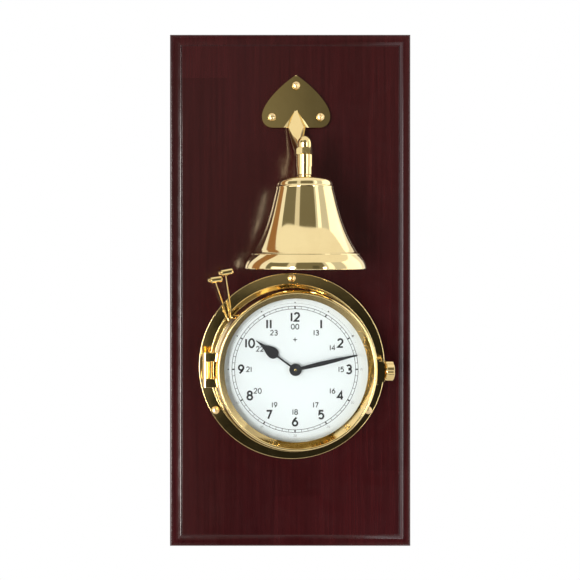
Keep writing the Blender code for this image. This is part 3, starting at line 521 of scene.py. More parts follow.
SCREW_BRASS = brass("screw_brass", (0.92, 0.71, 0.40), 0.26, 0.40)
INK = ink("dial_ink", (0.010, 0.010, 0.012), (0.022, 0.022, 0.026))
GREY_INK = ink("dial_grey_ink", (0.16, 0.16, 0.17), (0.24, 0.24, 0.25))


# ---- Screws ----------------------------------

SCREW_HEAD, SCREW_SHANK = 3.75, 1.7     # radii
SCREW_RIM, SCREW_DOME = 0.5, 2.1        # heights of the head's upright rim and of the dome on it
SCREW_POINT = 6.0


def wood_screw(seat, turn):
    """A slotted round-head screw whose head sits at seat, with its point in the board."""
    head = [(SCREW_HEAD * math.cos(math.radians(step)),
             seat + SCREW_RIM + SCREW_DOME * math.sin(math.radians(step))) for step in range(0, 90, 10)]
    profile = [(0, SCREW_POINT), (SCREW_SHANK, SCREW_POINT + 3), (SCREW_SHANK, seat),
               (SCREW_HEAD - 0.2, seat), (SCREW_HEAD, seat + 0.2), *head, (0, seat + SCREW_RIM + SCREW_DOME)]
    screw = turned(profile, sides=40)
    slot = block((-SCREW_HEAD - 1, SCREW_HEAD + 1), (seat + 1.5, seat + 4), (-0.45, 0.45))
    carve(screw, slot)
    return moved(screw, Matrix.Rotation(math.radians(turn), 4, "Y"))


def hole(right, up, low, high, radius=SCREW_SHANK + GAP):
    return rod(radius, low, high, sides=22, centre=(right, up))


# ---- Board -----------------------------------

BOARD_LOW, BOARD_HIGH = (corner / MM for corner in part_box("backboard"))
BOARD_FRONT = -BOARD_LOW.y
HANGER_UP = middle("hanger_plate")[2]
HANGER_SCREW_RISE = 18.5
SCREW_HOLE = (5.0, 22.0)                # from inside the board to in front of it
SCREW_ANGLES = {"top": 90.0, "left": 210.0, "right": 330.0}
FLANGE_SCREW_CIRCLE, DIAL_SCREW_CIRCLE = 86.0, 72.7
BRACKET_SCREWS = {"top": (0.0, 200.3), "left": (-23.7, 169.5), "right": (23.7, 169.5)}


def moulding():
    """The board's edge from its back to its field, as (inset from the side, out)."""
    levels = [(0.8, 0.0), (0.25, 0.2), (0.0, 0.8)]
    levels += [(2.0 - across, 15.6 + rise) for across, rise in arc((0, 0), 2.0, 0, 90, 6)]
    levels += arc((6.1, 28.9), 12.0, -109.0, -84.0, 9)
    levels += [(7.6, 17.0), (8.2, 17.14), (10.2, 17.68), (10.8, 17.9), (11.1, 17.85), (11.3, 17.3),
               (11.5, 17.3)]
    levels += rounded([(11.5, 17.3), (11.7, BOARD_FRONT, 0.6), (14.0, BOARD_FRONT)], closed=False)[1:]
    return levels


def make_board():
    shape = bmesh.new()
    loops = []
    for inset, out in moulding():
        left, right = BOARD_LOW.x + inset, BOARD_HIGH.x - inset
        bottom, top = BOARD_LOW.z + inset, BOARD_HIGH.z - inset
        corners = [(left, bottom), (right, bottom), (right, top), (left, top)]
        loops.append([shape.verts.new(at(first, out, second)) for first, second in corners])
    skin(shape, loops, closed=False)
    shape.faces.new(loops[0])
    shape.faces.new(loops[-1])
    board = solid(shape)

    low, high = (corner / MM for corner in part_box("hanger_plate"))
    cutters = [block((low.x - GAP, high.x + GAP), (-1.0, 2.3), (low.z - GAP, high.z + GAP)),
               block((-5.5, 5.5), (0.5, 11.0), (HANGER_UP - 12.5, HANGER_UP + 9.5))]
    cutters += [hole(0, HANGER_UP + side * HANGER_SCREW_RISE, 0.5, 14.0) for side in (-1, 1)]
    centre, _, up = CLOCK_AXIS
    for degrees in SCREW_ANGLES.values():
        across, rise = polar(FLANGE_SCREW_CIRCLE, degrees)
        cutters.append(hole(centre + across, up + rise, *SCREW_HOLE))
    for across, rise in BRACKET_SCREWS.values():
        cutters.append(hole(BRACKET_AXIS[0] + across, rise, *SCREW_HOLE))
    carve(board, *cutters)
    stand_in(board, "backboard", BOARD_AXIS, sharp=24.0)


def make_hanger():
    outline = rounded([(-8, -24, 2.0), (8, -24, 2.0), (8, 24, 2.0), (-8, 24, 2.0)])
    plate = drawn([(right, HANGER_UP + up) for right, up in outline], 0.5, 2.0, edge=0.2)
    keyhole = arc((0, HANGER_UP - 7.0), 4.8, 118.6, 421.4, 28)
    keyhole += arc((0, HANGER_UP + 3.7), 2.3, 0, 180, 12)
    carve(plate, drawn(keyhole, -1, 3),
          *[hole(0, HANGER_UP + side * HANGER_SCREW_RISE, -1, 3) for side in (1, -1)])
    stand_in(plate, "hanger_plate", BOARD_AXIS)
    for label, side in (("upper", 1), ("lower", -1)):
        profile = rounded([(0, 0.0), (3.0, 0.0, 0.1), (3.0, 0.2), (1.7, 0.4), (1.7, 10.0), (0, 13.0)])
        screw = turned(profile, sides=32)
        carve(screw, block((-4, 4), (-0.5, 0.15), (-0.35, 0.35)))
        stand_in(screw, f"hanger_screw_{label}", (0, 0, HANGER_UP + side * HANGER_SCREW_RISE))


# ---- Bell and bracket ------------------------

BELL_MOUTH, BELL_TOP, BELL_WALL = 22.3, 105.0, 2.8
BELL_HOLE = 4.3
BEADS = (36.0, 96.6)           # heights of the two fine raised lines
BEAD_HALF, BEAD_PROUD = 0.65, 0.55
BOLT_RADIUS, BOLT_TOP = 4.0, 137.0
BOSS_BOTTOM, BOSS_STEP, BOSS_TOP = 107.9, 115.0, 125.9
BOSS_RADIUS, BOSS_LENGTH = 7.2, 11.0
DOME_RADIUS, DOME_BASE, DOME_RISE = 6.3, 136.0, 7.4
PLATE_BACK, PLATE_FRONT = 20.3, 24.3


def bell_outline():
    """The bell's outer half section, crown to lip, as (radius, up)."""
    outline = [(BELL_HOLE, BELL_TOP)]
    outline += bezier((12.0, BELL_TOP), (19.5, BELL_TOP), (24.2, 104.0), (25.0, 99.5), 14)
    outline += bezier((25.0, 99.5), (30.5, 78.0), (33.8, 58.5), (46.9, 39.0), 110)
    outline += bezier((46.9, 39.0), (50.5, 34.0), (55.3, 29.5), (55.3, BELL_MOUTH), 36)
    outline.append((55.3, BELL_MOUTH + 0.6))
    return outline


def offset(outline, distance):
    """An open outline moved square to itself, inward for a bell drawn crown to lip."""
    shifted = []
    for before, here, after in zip(outline, outline[1:], outline[2:]):
        along = Vector((after[0] - before[0], after[1] - before[1])).normalized()
        shifted.append((here[0] + distance * along.y, here[1] - distance * along.x))
    return shifted


def make_bell():
    outline = bell_outline()
    inner = [(BELL_HOLE, BELL_TOP - BELL_WALL), *offset(outline, BELL_WALL), (52.9, BELL_MOUTH + 0.3)]
    outer = []
    for radius, up in outline:
        swell = max(0.0, max(1 - ((up - height) / BEAD_HALF) ** 2 for height in BEADS))
        outer.append((radius + BEAD_PROUD * swell, up))
    lip = [(55.1, BELL_MOUTH + 0.15), (54.7, BELL_MOUTH), (53.5, BELL_MOUTH)]
    bell = turned(outer + lip + inner[::-1], axis="up", sides=160)
    stand_in(bell, "bell", BELL_AXIS, BELL_BRASS, sharp=40.0)

    head_top = BELL_TOP - BELL_WALL - GAP
    bolt = [(0, head_top - 6.5), (6.2, head_top - 6.5, 0.5), (7.4, head_top - 5.4, 0.5),
            (7.4, head_top - 1.5, 0.3), (9.5, head_top - 1.5, 0.4), (9.5, head_top, 0.3),
            (BOLT_RADIUS, head_top), (BOLT_RADIUS, BOLT_TOP, 0.5), (0, BOLT_TOP)]
    stand_in(turned(rounded(bolt), axis="up", sides=48), "bell_bolt", BELL_AXIS)

    low, high = BELL_TOP + GAP, BOSS_BOTTOM - GAP
    collar = [(BELL_HOLE, low), (6.0, low, 0.3), (6.2, (low + high) / 2, 0.5), (6.0, high, 0.3),
              (BELL_HOLE, high)]
    stand_in(turned(rounded(collar), axis="up", sides=64), "bell_collar", BELL_AXIS)
    make_dome_nut()


def make_dome_nut():
    """A hexagon whose corners are turned off by cones, under a domed cap."""
    seat = BOSS_TOP + GAP
    corners = [polar(12.8 / math.sqrt(3), 60.0 * index + 52.5) for index in range(6)]
    nut = drawn(corners, seat, 132.6, axis="up")
    cone = rounded([(0, seat - 0.01), (6.5, seat - 0.01), (7.6, seat + 0.8), (7.6, 131.0), (6.4, 132.75),
                    (0, 132.75)])
    combine(nut, [turned(cone, axis="up", sides=72)], "INTERSECT")
    dome = [(0, 131.0), (5.7, 131.0), (5.7, 132.4), (6.2, 132.8), (DOME_RADIUS, 133.5)]
    dome += oval((0, DOME_BASE), (DOME_RADIUS, DOME_RISE), 0, 88, 11)
    dome.append((0, DOME_BASE + DOME_RISE))
    join(nut, turned(dome, axis="up", sides=64))
    carve(nut, rod(BELL_HOLE, seat - 1.0, BOLT_TOP + 0.8, axis="up", sides=36))
    stand_in(nut, "dome_nut", BELL_AXIS)


def spade_outline():
    """The plate's outline: a point at the top, round shoulders and a flat lower edge."""
    half = bezier((0.0, 210.7), (12.0, 203.0), (33.0, 184.0), (33.3, 170.5), 28)
    half += bezier((33.3, 170.5), (33.3, 164.0), (29.5, 159.2), (22.0, 159.2), 16)
    half.append((22.0, 159.2))
    return half + [(-right, up) for right, up in half[:0:-1]]


def arm_sections():
    """The arm: broad and ridged where it leaves the plate, slimmer in its bend, broad again at the boss."""
    waist, tip, tip_share = 4.9, 0.22, 0.22
    path_end = (74.0, 117.5)
    path = [(18.0, 186.0), *bezier((22.0, 174.0), (29.0, 152.0), (50.0, 122.0), path_end, 48), path_end]
    sections = []
    for index, (out, up) in enumerate(path):
        before = path[max(index - 1, 0)]
        after = path[min(index + 1, len(path) - 1)]
        along = Vector((after[0] - before[0], after[1] - before[1])).normalized()
        share = index / (len(path) - 1)
        half_width = waist + 11.3 * max(0.0, 0.55 - share) + 4.0 * max(0.0, share - 0.6)
        half_width *= tip + (1 - tip) * min(share / tip_share, 1.0)
        half_depth = 3.2 + 2.3 * min(share * 2.0, 1.0)
        section = []
        for step in range(48):
            right, lift = polar(1.0, 7.5 * step)
            if lift > 0:
                lift = (1 - abs(right) ** 1.7) ** 0.8
            section.append((half_width * right, out - along.y * half_depth * lift,
                            up + along.x * half_depth * lift))
        sections.append(section)
    return sections


def root_sections():
    """The hollow fillets that spread the arm over the plate, wider towards its lower edge."""
    top, bottom, wide, proud = 174.0, 159.3, 13.4, 5.4
    sections = []
    for level in range(25):
        share = level / 24
        up = top + (bottom - top) * share
        width = 0.6 + (wide - 0.6) * share ** 0.74
        rise = 0.1 + proud * share
        section = [(-width, PLATE_FRONT - 1.5, up)]
        for step in range(49):
            across = -1 + step / 24
            hump = (1 - abs(across)) ** 1.25
            section.append((width * across, PLATE_FRONT - 0.1 + rise * hump, up))
        section.append((width, PLATE_FRONT - 1.5, up))
        sections.append(section)
    return sections


def boss_outline(radius):
    """An oval that reaches from the bell's axis back to the arm."""
    front = arc((0, BELL_AXIS[1]), radius, 0, 180, 30)
    back = arc((0, BELL_AXIS[1] - BOSS_LENGTH), radius, 180, 360, 30)
    return front + back


def make_bracket():
    """The casting: a spade plate, an arm that sweeps down and forward, and the boss over the bell."""
    bracket = drawn(spade_outline(), PLATE_BACK, PLATE_FRONT, edge=1.2)
    upper = drawn(boss_outline(BOSS_RADIUS), BOSS_STEP, BOSS_TOP, axis="up", edge=0.4)
    lower = drawn(boss_outline(BOSS_RADIUS - 0.5), BOSS_BOTTOM, BOSS_STEP + 0.5, axis="up", edge=0.3)
    join(bracket, lofted(root_sections()), lofted(arm_sections()), upper, lower)
    holes = [hole(right, up, PLATE_BACK - 1, PLATE_FRONT + 1) for right, up in BRACKET_SCREWS.values()]
    behind = block((-40, 40), (PLATE_BACK - 20, PLATE_BACK), (140, 220))
    bore = rod(BELL_HOLE, BOSS_BOTTOM - 1, BOSS_TOP + 1, axis="up", sides=36, centre=(0.0, BELL_AXIS[1]))
    carve(bracket, behind, bore, *holes)
    stand_in(bracket, "bell_bracket", BRACKET_AXIS)
    for label, (right, up) in BRACKET_SCREWS.items():
        screw = wood_screw(PLATE_FRONT + GAP, turn=40 + 2 * right)
        stand_in(screw, f"bracket_screw_{label}", (BRACKET_AXIS[0] + right, 0, up), SCREW_BRASS)


# ---- Clock case and door ---------------------

FLANGE_RADIUS, FLANGE_FRONT = 90.75, 24.0
DRUM_RADIUS, DRUM_NECK, DRUM_RIM = 80.0, 78.0, 50.2
DRUM_BORE, DRUM_INSIDE = 75.8, 76.2
HAMMER_SLOT = (132.5, 146.0)            # angles of the slot that the hammers' rods come out of
LEDGE_RADIUS, LEDGE_FRONT, LEDGE_BACK = 70.0, 46.7, 44.2
BEZEL_RADIUS, BEZEL_BACK, BEZEL_CREST = 77.6, 50.5, 63.0
GLASS_OPENING, GLASS_RADIUS = 67.5, 71.5
GLASS_OUT, RETAINER_OUT = (53.6, 55.6), (51.8, 53.3)
KNUCKLE_RADIUS, KNUCKLE_HALF, LUG_TOP = 3.3, 7.8, 16.3
PIN_RADIUS, PIN_BORE = 1.2, 1.5
LATCH_OUT, LATCH_UP, LATCH_HALF = LATCH_AXIS[1], LATCH_AXIS[2] - CLOCK_AXIS[2], 9.0
LATCH_BORE = 2.4
TAB_INNER, TAB_OUTER = 79.0, 82.6
LEG_BACK, LEG_FRONT, TAB_FRONT = 41.0, 52.0, 59.0


def make_case():
    profile = [(74.5, 20.3), (FLANGE_RADIUS, 20.3, 0.3), (FLANGE_RADIUS, FLANGE_FRONT, 0.7),
               (DRUM_RADIUS, FLANGE_FRONT, 0.5), (DRUM_NECK, DRUM_RIM, 0.4), (DRUM_BORE, DRUM_RIM, 0.4),
               (DRUM_BORE, LEDGE_FRONT), (LEDGE_RADIUS, LEDGE_FRONT), (LEDGE_RADIUS, LEDGE_BACK),
               (DRUM_INSIDE, LEDGE_BACK), (DRUM_INSIDE, 23.0)]
    case = turned(rounded(profile), sides=192)
    notch = [polar(68.0, HAMMER_SLOT[0]), *arc((0, 0), 84.0, *HAMMER_SLOT, 8), polar(68.0, HAMMER_SLOT[1])]
    cutters = [drawn(notch, 34.3, DRUM_RIM + 1)]
    for degrees in SCREW_ANGLES.values():
        cutters.append(hole(*polar(FLANGE_SCREW_CIRCLE, degrees), 19.0, 26.0))
        cutters.append(hole(*polar(DIAL_SCREW_CIRCLE, degrees), 43.0, 48.0, radius=DIAL_SCREW_HOLE))
    carve(case, *cutters)
    stand_in(case, "clock_case", CLOCK_AXIS)
    for label, degrees in SCREW_ANGLES.items():
        right, up = polar(FLANGE_SCREW_CIRCLE, degrees)
        screw = wood_screw(FLANGE_FRONT + GAP, turn=degrees + 35)
        origin = (CLOCK_AXIS[0] + right, 0, CLOCK_AXIS[2] + up)
        stand_in(screw, f"flange_screw_{label}", origin, SCREW_BRASS)


def make_hinge():
    """The block on the case's side, with its knuckle round the pin."""
    inner_face = -DRUM_RADIUS + 0.7 - DOOR_RIGHT
    outline = [(inner_face, -14.0), *rounded([(inner_face, -14.0), (inner_face, -0.2, 0.3), (3.3, 0.3)],
                                             closed=False)[1:-1]]
    outline += arc((0, 0), KNUCKLE_RADIUS, 4, 180, 28)
    outline.append((-KNUCKLE_RADIUS, -14.0))
    hinge = drawn(outline, -KNUCKLE_HALF, KNUCKLE_HALF, axis="up", edge=0.3)
    carve(hinge, rod(PIN_BORE, -20, 20, axis="up", sides=26))
    stand_in(hinge, "hinge_block", DOOR_AXIS)
    pin = rod(PIN_RADIUS, -LUG_TOP - 0.4, LUG_TOP + 0.4, axis="up", sides=28, edge=0.3)
    stand_in(pin, "hinge_pin", DOOR_AXIS)


def bezel_profile():
    """The door ring's section, as (radius, out) from the clock's axis."""
    return rounded([(71.9, BEZEL_BACK, 0.3), (BEZEL_RADIUS, BEZEL_BACK, 0.4), (75.9, 58.5, 1.2),
                    (75.3, 60.8, 1.0), (74.4, 62.3, 0.7), (73.3, BEZEL_CREST, 0.5), (72.4, 62.6, 0.4),
                    (GLASS_OPENING, 56.4, 0.25), (GLASS_OPENING, 55.9), (71.9, 55.9)])


def make_door():
    """The glazed ring with its two hinge lugs and its latch tab, built from the hinge's axis."""
    centre = (-DOOR_RIGHT, 0.0)
    axis_out = DOOR_AXIS[1]
    profile = [(radius, out - axis_out) for radius, out in bezel_profile()]
    bezel = turned(profile, sides=240, centre=centre)

    back = BEZEL_BACK + 0.2 - axis_out
    last_angle = 360.0 + math.degrees(math.asin(back / KNUCKLE_RADIUS))
    lug = arc((0, 0), KNUCKLE_RADIUS, 90.0, last_angle, 36) + [(12.0, back), (12.0, KNUCKLE_RADIUS)]
    additions = []
    for side in (-1, 1):
        low, high = sorted((side * (KNUCKLE_HALF + 0.5), side * LUG_TOP))
        additions.append(drawn(lug, low, high, axis="up", edge=0.3))

    half = [(73.2, 12.0), *bezier((76.6, 12.0), (77.4, 10.2), (78.2, LATCH_HALF), (79.8, LATCH_HALF), 8)]
    half += [(TAB_OUTER, LATCH_HALF, 0.8)]
    tab = rounded([*half, *[(corner[0], -corner[1], *corner[2:]) for corner in reversed(half)]])
    tab = [(right - DOOR_RIGHT, LATCH_UP + up) for right, up in tab]
    additions.append(drawn(tab, back, TAB_FRONT - axis_out, edge=0.45))
    leg_outer, leg_half = TAB_OUTER - FACE_STEP, LATCH_HALF - FACE_STEP
    leg = [(TAB_INNER, LEG_BACK), (leg_outer, LEG_BACK), (leg_outer, LEG_FRONT), (TAB_INNER, LEG_FRONT)]
    leg = [(right - DOOR_RIGHT, out - axis_out) for right, out in leg]
    additions.append(drawn(leg, LATCH_UP - leg_half, LATCH_UP + leg_half, axis="up", edge=0.3))
    join(bezel, *additions)
    bore = rod(LATCH_BORE, TAB_INNER - DOOR_RIGHT - 1, TAB_OUTER - DOOR_RIGHT + 1, axis="right", sides=30,
               centre=(LATCH_OUT - axis_out, LATCH_UP))
    carve(bezel, rod(PIN_BORE, -20, 20, axis="up", sides=26), bore)
    stand_in(bezel, "bezel_door", DOOR_AXIS)

    low, high = (out - axis_out for out in GLASS_OUT)
    pane = rounded([(0, low), (GLASS_RADIUS, low, 0.3), (GLASS_RADIUS, high, 0.3), (0, high)])
    glass = turned(pane, sides=128, centre=centre)
    stand_in(glass, "door_glass", DOOR_AXIS)
    low, high = RETAINER_OUT
    band = rounded([(68.6, low, 0.2), (GLASS_RADIUS, low, 0.2), (GLASS_RADIUS, high, 0.2), (68.6, high, 0.2)])
    retainer = turned([(radius, out - axis_out) for radius, out in band], sides=160, centre=centre)
    stand_in(retainer, "glass_retainer", DOOR_AXIS)


def make_thumbscrew():
    """A fluted knob on a short shank; its inner end is turned down to a dome."""
    low = TAB_OUTER + 1.2
    knob_radius, length, flutes, dip_depth = 9.3, 8.6, 6, 1.1
    ends = [(low, 0.66), (low + 0.15, 0.80), (low + 0.7, 0.92), (low + 1.6, 0.985), (low + 2.6, 1.0),
            (low + length - 0.9, 1.0), (low + length - 0.35, 0.975), (low + length, 0.91)]
    per_flute, flute_half = 24, 0.19
    steps = flutes * per_flute
    sections = []
    for along, scale in ends:
        section = []
        for index in range(steps):
            share = (index % per_flute) / per_flute
            dip = max(0.0, 1.0 - ((share - 0.5) / flute_half) ** 2)
            out, up = polar(scale * (knob_radius - dip_depth * dip), 360.0 * (index - 12) / steps)
            section.append((along, out, up))
        sections.append(section)
    knob = lofted(sections)
    join(knob, rod(2.1, DRUM_NECK + 0.6, low + 1.0, axis="right", sides=28, edge=0.2))
    stand_in(knob, "thumbscrew", LATCH_AXIS, sharp=28.0)
    washer = ring(LATCH_BORE, 5.6, TAB_OUTER + GAP, low - GAP, axis="right", sides=48)
    stand_in(washer, "thumbscrew_washer", LATCH_AXIS)


# ---- Dial and its print ----------------------

DIAL_FRONT = -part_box("dial")[0].y / MM
DIAL_BACK, DIAL_RADIUS, DIAL_HOLE, DIAL_SCREW_HOLE = 47.0, 75.5, 4.3, 1.3
INK_TOP = DIAL_FRONT + 0.05


def make_dial():
    edge = [(DIAL_HOLE, DIAL_BACK), (DIAL_RADIUS, DIAL_BACK, 0.2), (DIAL_RADIUS, DIAL_FRONT, 0.2),
            (DIAL_HOLE, DIAL_FRONT)]
    dial = turned(rounded(edge), sides=160)
    carve(dial, *[hole(*polar(DIAL_SCREW_CIRCLE, degrees), 46.0, 49.0, radius=DIAL_SCREW_HOLE)
                  for degrees in SCREW_ANGLES.values()])
    stand_in(dial, "dial", CLOCK_AXIS)
    head = DIAL_FRONT + GAP
    for label, degrees in SCREW_ANGLES.items():
        right, up = polar(DIAL_SCREW_CIRCLE, degrees)
        profile = [(0, 42.0), (1.0, 42.0), (1.0, head), (2.2, head, 0.15), (2.0, head + 0.9, 0.4),
                   (0, head + 1.2)]
        screw = turned(rounded(profile), sides=28)
        carve(screw, block((-3, 3), (head + 0.6, head + 2), (-0.25, 0.25)))
        stand_in(screw, f"dial_screw_{label}", (CLOCK_AXIS[0] + right, 0, CLOCK_AXIS[2] + up))
    stand_in(ring(DIAL_HOLE, 5.2, head, 49.5, sides=48), "movement_nut", CLOCK_AXIS)


# Strokes of each digit in a cell one high, with the origin at its middle; each digit has its width
DIGITS = {
    "0": (0.62, [oval((0, 0), (0.29, 0.46), 90, 450, 32)]),
    "1": (0.20, [[(0, -0.46), (0, 0.46)]]),
    "2": (0.58, [[*oval((0, 0.20), (0.25, 0.26), 165, -38, 16), (-0.25, -0.42), (0.28, -0.42)]]),
    "3": (0.58, [[*oval((-0.01, 0.22), (0.23, 0.24), 150, -72, 14),
                  *oval((-0.02, -0.20), (0.27, 0.26), 72, -150, 16)],
                 [(-0.08, 0.03), (0.08, 0.03)]]),
    "4": (0.62, [[(0.13, -0.46), (0.13, 0.44), (-0.29, -0.20), (0.30, -0.20)]]),
    "5": (0.58, [[(0.24, 0.42), (-0.17, 0.42), (-0.21, 0.05),
                  *oval((-0.01, -0.16), (0.26, 0.29), 118, -148, 18)]]),
    "6": (0.60, [oval((0, -0.18), (0.26, 0.27), 0, 360, 26),
                 [(0.16, 0.45), (-0.12, 0.16), (-0.245, -0.10)]]),
    "7": (0.56, [[(-0.26, 0.42), (0.26, 0.42), (-0.08, -0.46)]]),
    "8": (0.60, [oval((0, 0.235), (0.22, 0.215), 0, 360, 24), oval((0, -0.215), (0.27, 0.245), 0, 360, 26)]),
    "9": (0.60, [oval((0, 0.18), (0.26, 0.27), 0, 360, 26),
                 [(-0.16, -0.45), (0.12, -0.16), (0.245, 0.10)]]),
}
DIGIT_GAP = 0.2


def ribbon(shape, points, width, low, high):
    """A flat stroke of one width along points, as a closed prism."""
    path = [Vector(point) for point in points]
    looped = (path[0] - path[-1]).length < TINY
    if looped:
        path.pop()
    count = len(path)
    sides = []
    for index, here in enumerate(path):
        before = path[index - 1] if looped or index else here
        after = path[(index + 1) % count] if looped or index < count - 1 else here
        first = (here - before).normalized() if before != here else (after - here).normalized()
        second = (after - here).normalized() if after != here else first
        normal = Vector((-(first + second).y, (first + second).x)).normalized()
        stretch = 1 / max(0.45, normal.dot(Vector((-first.y, first.x))))
        sides.append((here + normal * width / 2 * stretch, here - normal * width / 2 * stretch))
    rings = [[shape.verts.new(at(point.x, out, point.y))
              for point, out in ((left, low), (right, low), (right, high), (left, high))]
             for left, right in sides]
    skin(shape, rings, closed=looped)
    if not looped:
        shape.faces.new(rings[0])
        shape.faces.new(rings[-1])


def write_number(shape, text, centre, height, stroke):
    """A number in plain upright strokes, centred on a point of the dial."""
    widths = [DIGITS[digit][0] for digit in text]
    start = -(sum(widths) + DIGIT_GAP * (len(text) - 1)) / 2
    for digit, width in zip(text, widths):
        middle_across = start + width / 2
        for points in DIGITS[digit][1]:
            placed = [(centre[0] + (across + middle_across) * height, centre[1] + up * height)
                      for across, up in points]
            ribbon(shape, placed, stroke, DIAL_FRONT, INK_TOP)
        start += width + DIGIT_GAP


def circle(shape, radius, width, first=0.0, last=360.0, steps=180):
    """A printed line round the dial, or part of one."""
    ribbon(shape, arc((0, 0), radius, first, last, steps), width, DIAL_FRONT, INK_TOP)


def tick(shape, dial_angle, inner, outer, width):
    """A short line that points to the dial's centre."""
    line = [polar(radius, 90.0 - dial_angle) for radius in (inner, outer)]
    ribbon(shape, line, width, DIAL_FRONT, INK_TOP)


# How far from the dial's centre each number stands
HOUR_RADIUS, SIDE_HOUR_RADIUS = 49.6, 51.2
LATE_RADII = {0: 40.5, 13: 40.1, 14: 41.0, 15: 43.7, 16: 41.0, 17: 39.0, 18: 40.5, 19: 39.0, 20: 41.0,
              21: 43.7, 22: 38.6, 23: 40.1}
RAIL = (57.4, 59.9)
OUTER_ARC, OUTER_ARC_SPAN = 62.7, (28.0, 192.0)      # a partial scale outside the rail, and its ends
OUTER_TICKS, OUTER_NUMBERS = range(43, 72), range(10, 45, 5)
STAR_UP = 28.2


def finish_print(shape, name, look):
    place(solid(shape), name, CLOCK_AXIS, look, "plaque")


def make_dial_print():
    """The hour and late-hour numbers, the minute rail and a plain four-pointed star."""
    shape = bmesh.new()
    for hour in range(1, 13):
        radius = SIDE_HOUR_RADIUS if hour in (3, 9) else HOUR_RADIUS
        write_number(shape, str(hour), polar(radius, 90.0 - 30.0 * hour), height=8.6, stroke=1.75)
    for radius in RAIL:
        circle(shape, radius, 0.45)
    for minute in range(60):
        bold = minute % 5 == 0
        tick(shape, 6.0 * minute, *RAIL, 1.25 if bold else 0.36)
    star = [polar(2.6 if step % 2 == 0 else 0.75, 90.0 + 45.0 * step) for step in range(8)]
    faces = [[shape.verts.new(at(right, out, up + STAR_UP)) for right, up in star]
             for out in (DIAL_FRONT, INK_TOP)]
    skin(shape, faces, closed=False)
    for face in faces:
        shape.faces.new(face)
    finish_print(shape, "dial_hour_print", INK)

    shape = bmesh.new()
    for hour, radius in LATE_RADII.items():
        text = "00" if hour == 0 else str(hour)
        write_number(shape, text, polar(radius, 90.0 - 30.0 * hour), height=5.1, stroke=0.85)
    for minute in OUTER_TICKS:
        bold = minute % 5 == 0
        tick(shape, 6.0 * minute, OUTER_ARC - 0.1, OUTER_ARC + (1.3 if bold else 0.6), 1.0 if bold else 0.2)
    finish_print(shape, "dial_late_print", INK)

    shape = bmesh.new()
    circle(shape, OUTER_ARC, 0.16, *OUTER_ARC_SPAN, steps=120)
    for minute in OUTER_NUMBERS:
        centre = polar(OUTER_ARC + 0.3, 90.0 - 6.0 * minute)
        write_number(shape, str(minute), centre, height=2.1, stroke=0.22)
    finish_print(shape, "dial_minute_print", GREY_INK)


# ---- Hands -----------------------------------

HOUR_ANGLE, MINUTE_ANGLE = 306.4, 76.7
HOUR_LENGTH, MINUTE_LENGTH = 46.5, 60.5
HOUR_OUT, MINUTE_OUT = (50.0, 50.5), (51.2, 51.7)


def make_hands():
    """Both hands and their cap nut, each hand drawn to twelve and turned to its hour."""
    half = [(0.8, 0.0), (0.8, 20.3), (1.2, 21.0)]
    half += bezier((2.2, 21.5), (6.8, 23.5), (5.8, 29.5), (2.3, 35.5), 18)
    half += [(2.3, 35.5), (1.5, 38.5), (0.8, 42.0), (0.3, HOUR_LENGTH - 0.5), (0.0, HOUR_LENGTH)]
    hour = drawn(clockwise(mirrored(half), HOUR_ANGLE), *HOUR_OUT)
    join(hour, rod(4.4, *HOUR_OUT, sides=48))
    carve(hour, rod(2.5, 49, 52, sides=30))
    stand_in(hour, "hour_hand", CLOCK_AXIS)

    half = [(1.3, 0.0), (1.75, 12.0), (2.1, 26.0), (1.7, 40.0), (0.75, 56.0), (0.35, MINUTE_LENGTH - 0.4),
            (0.0, MINUTE_LENGTH)]
    minute = drawn(clockwise(mirrored(half), MINUTE_ANGLE), *MINUTE_OUT)
    low, high = MINUTE_OUT[0], MINUTE_OUT[1] + 0.05
    join(minute, turned(rounded([(0, low), (5.9, low, 0.15), (5.9, high, 0.15), (0, high)]), sides=64))
    carve(minute, rod(1.3, 50.9, 52, sides=24))
    stand_in(minute, "minute_hand", CLOCK_AXIS)

    cap = rounded([(0, 52.2), (1.3, 52.2, 0.1), (1.3, 52.7, 0.3), (0.7, 53.05, 0.3), (0, 53.1)])
    stand_in(turned(cap, sides=32), "hand_cap", CLOCK_AXIS)


# ---- Hammers ---------------------------------

# Each rod's angle and reach from the arbor, where its hub lies, and where its head is and how it tilts
HAMMERS = {
    "left": {"angle": 110.0, "reach": 65.8, "hub": (33.5, 38.5), "head_out": 70.0, "tilt": 8.7},
    "right": {"angle": 100.9, "reach": 70.1, "hub": (39.0, 44.0), "head_out": 80.0, "tilt": 10.4},
}
ROD_RADIUS, ROD_BEND = 0.95, 28.0


def rod_route(hammer):
    """Flat inside the case, then bent forward to the bell, with an eased bend."""
    level = sum(hammer["hub"]) / 2
    knee = (ROD_BEND - 1.0, level)
    end = (hammer["reach"] - 2.3, hammer["head_out"] - 2.4)
    toward = (Vector(end) - Vector(knee)).normalized() * 3.5
    route = [(4.8, level), (12.0, level), (20.0, level)]
    route += bezier((ROD_BEND - 4.5, level), knee, knee, (knee[0] + toward.x, knee[1] + toward.y), 8)
    route += [(knee[0] + toward.x, knee[1] + toward.y), end]
    return [(*polar(along, hammer["angle"]), out) for along, out in route]


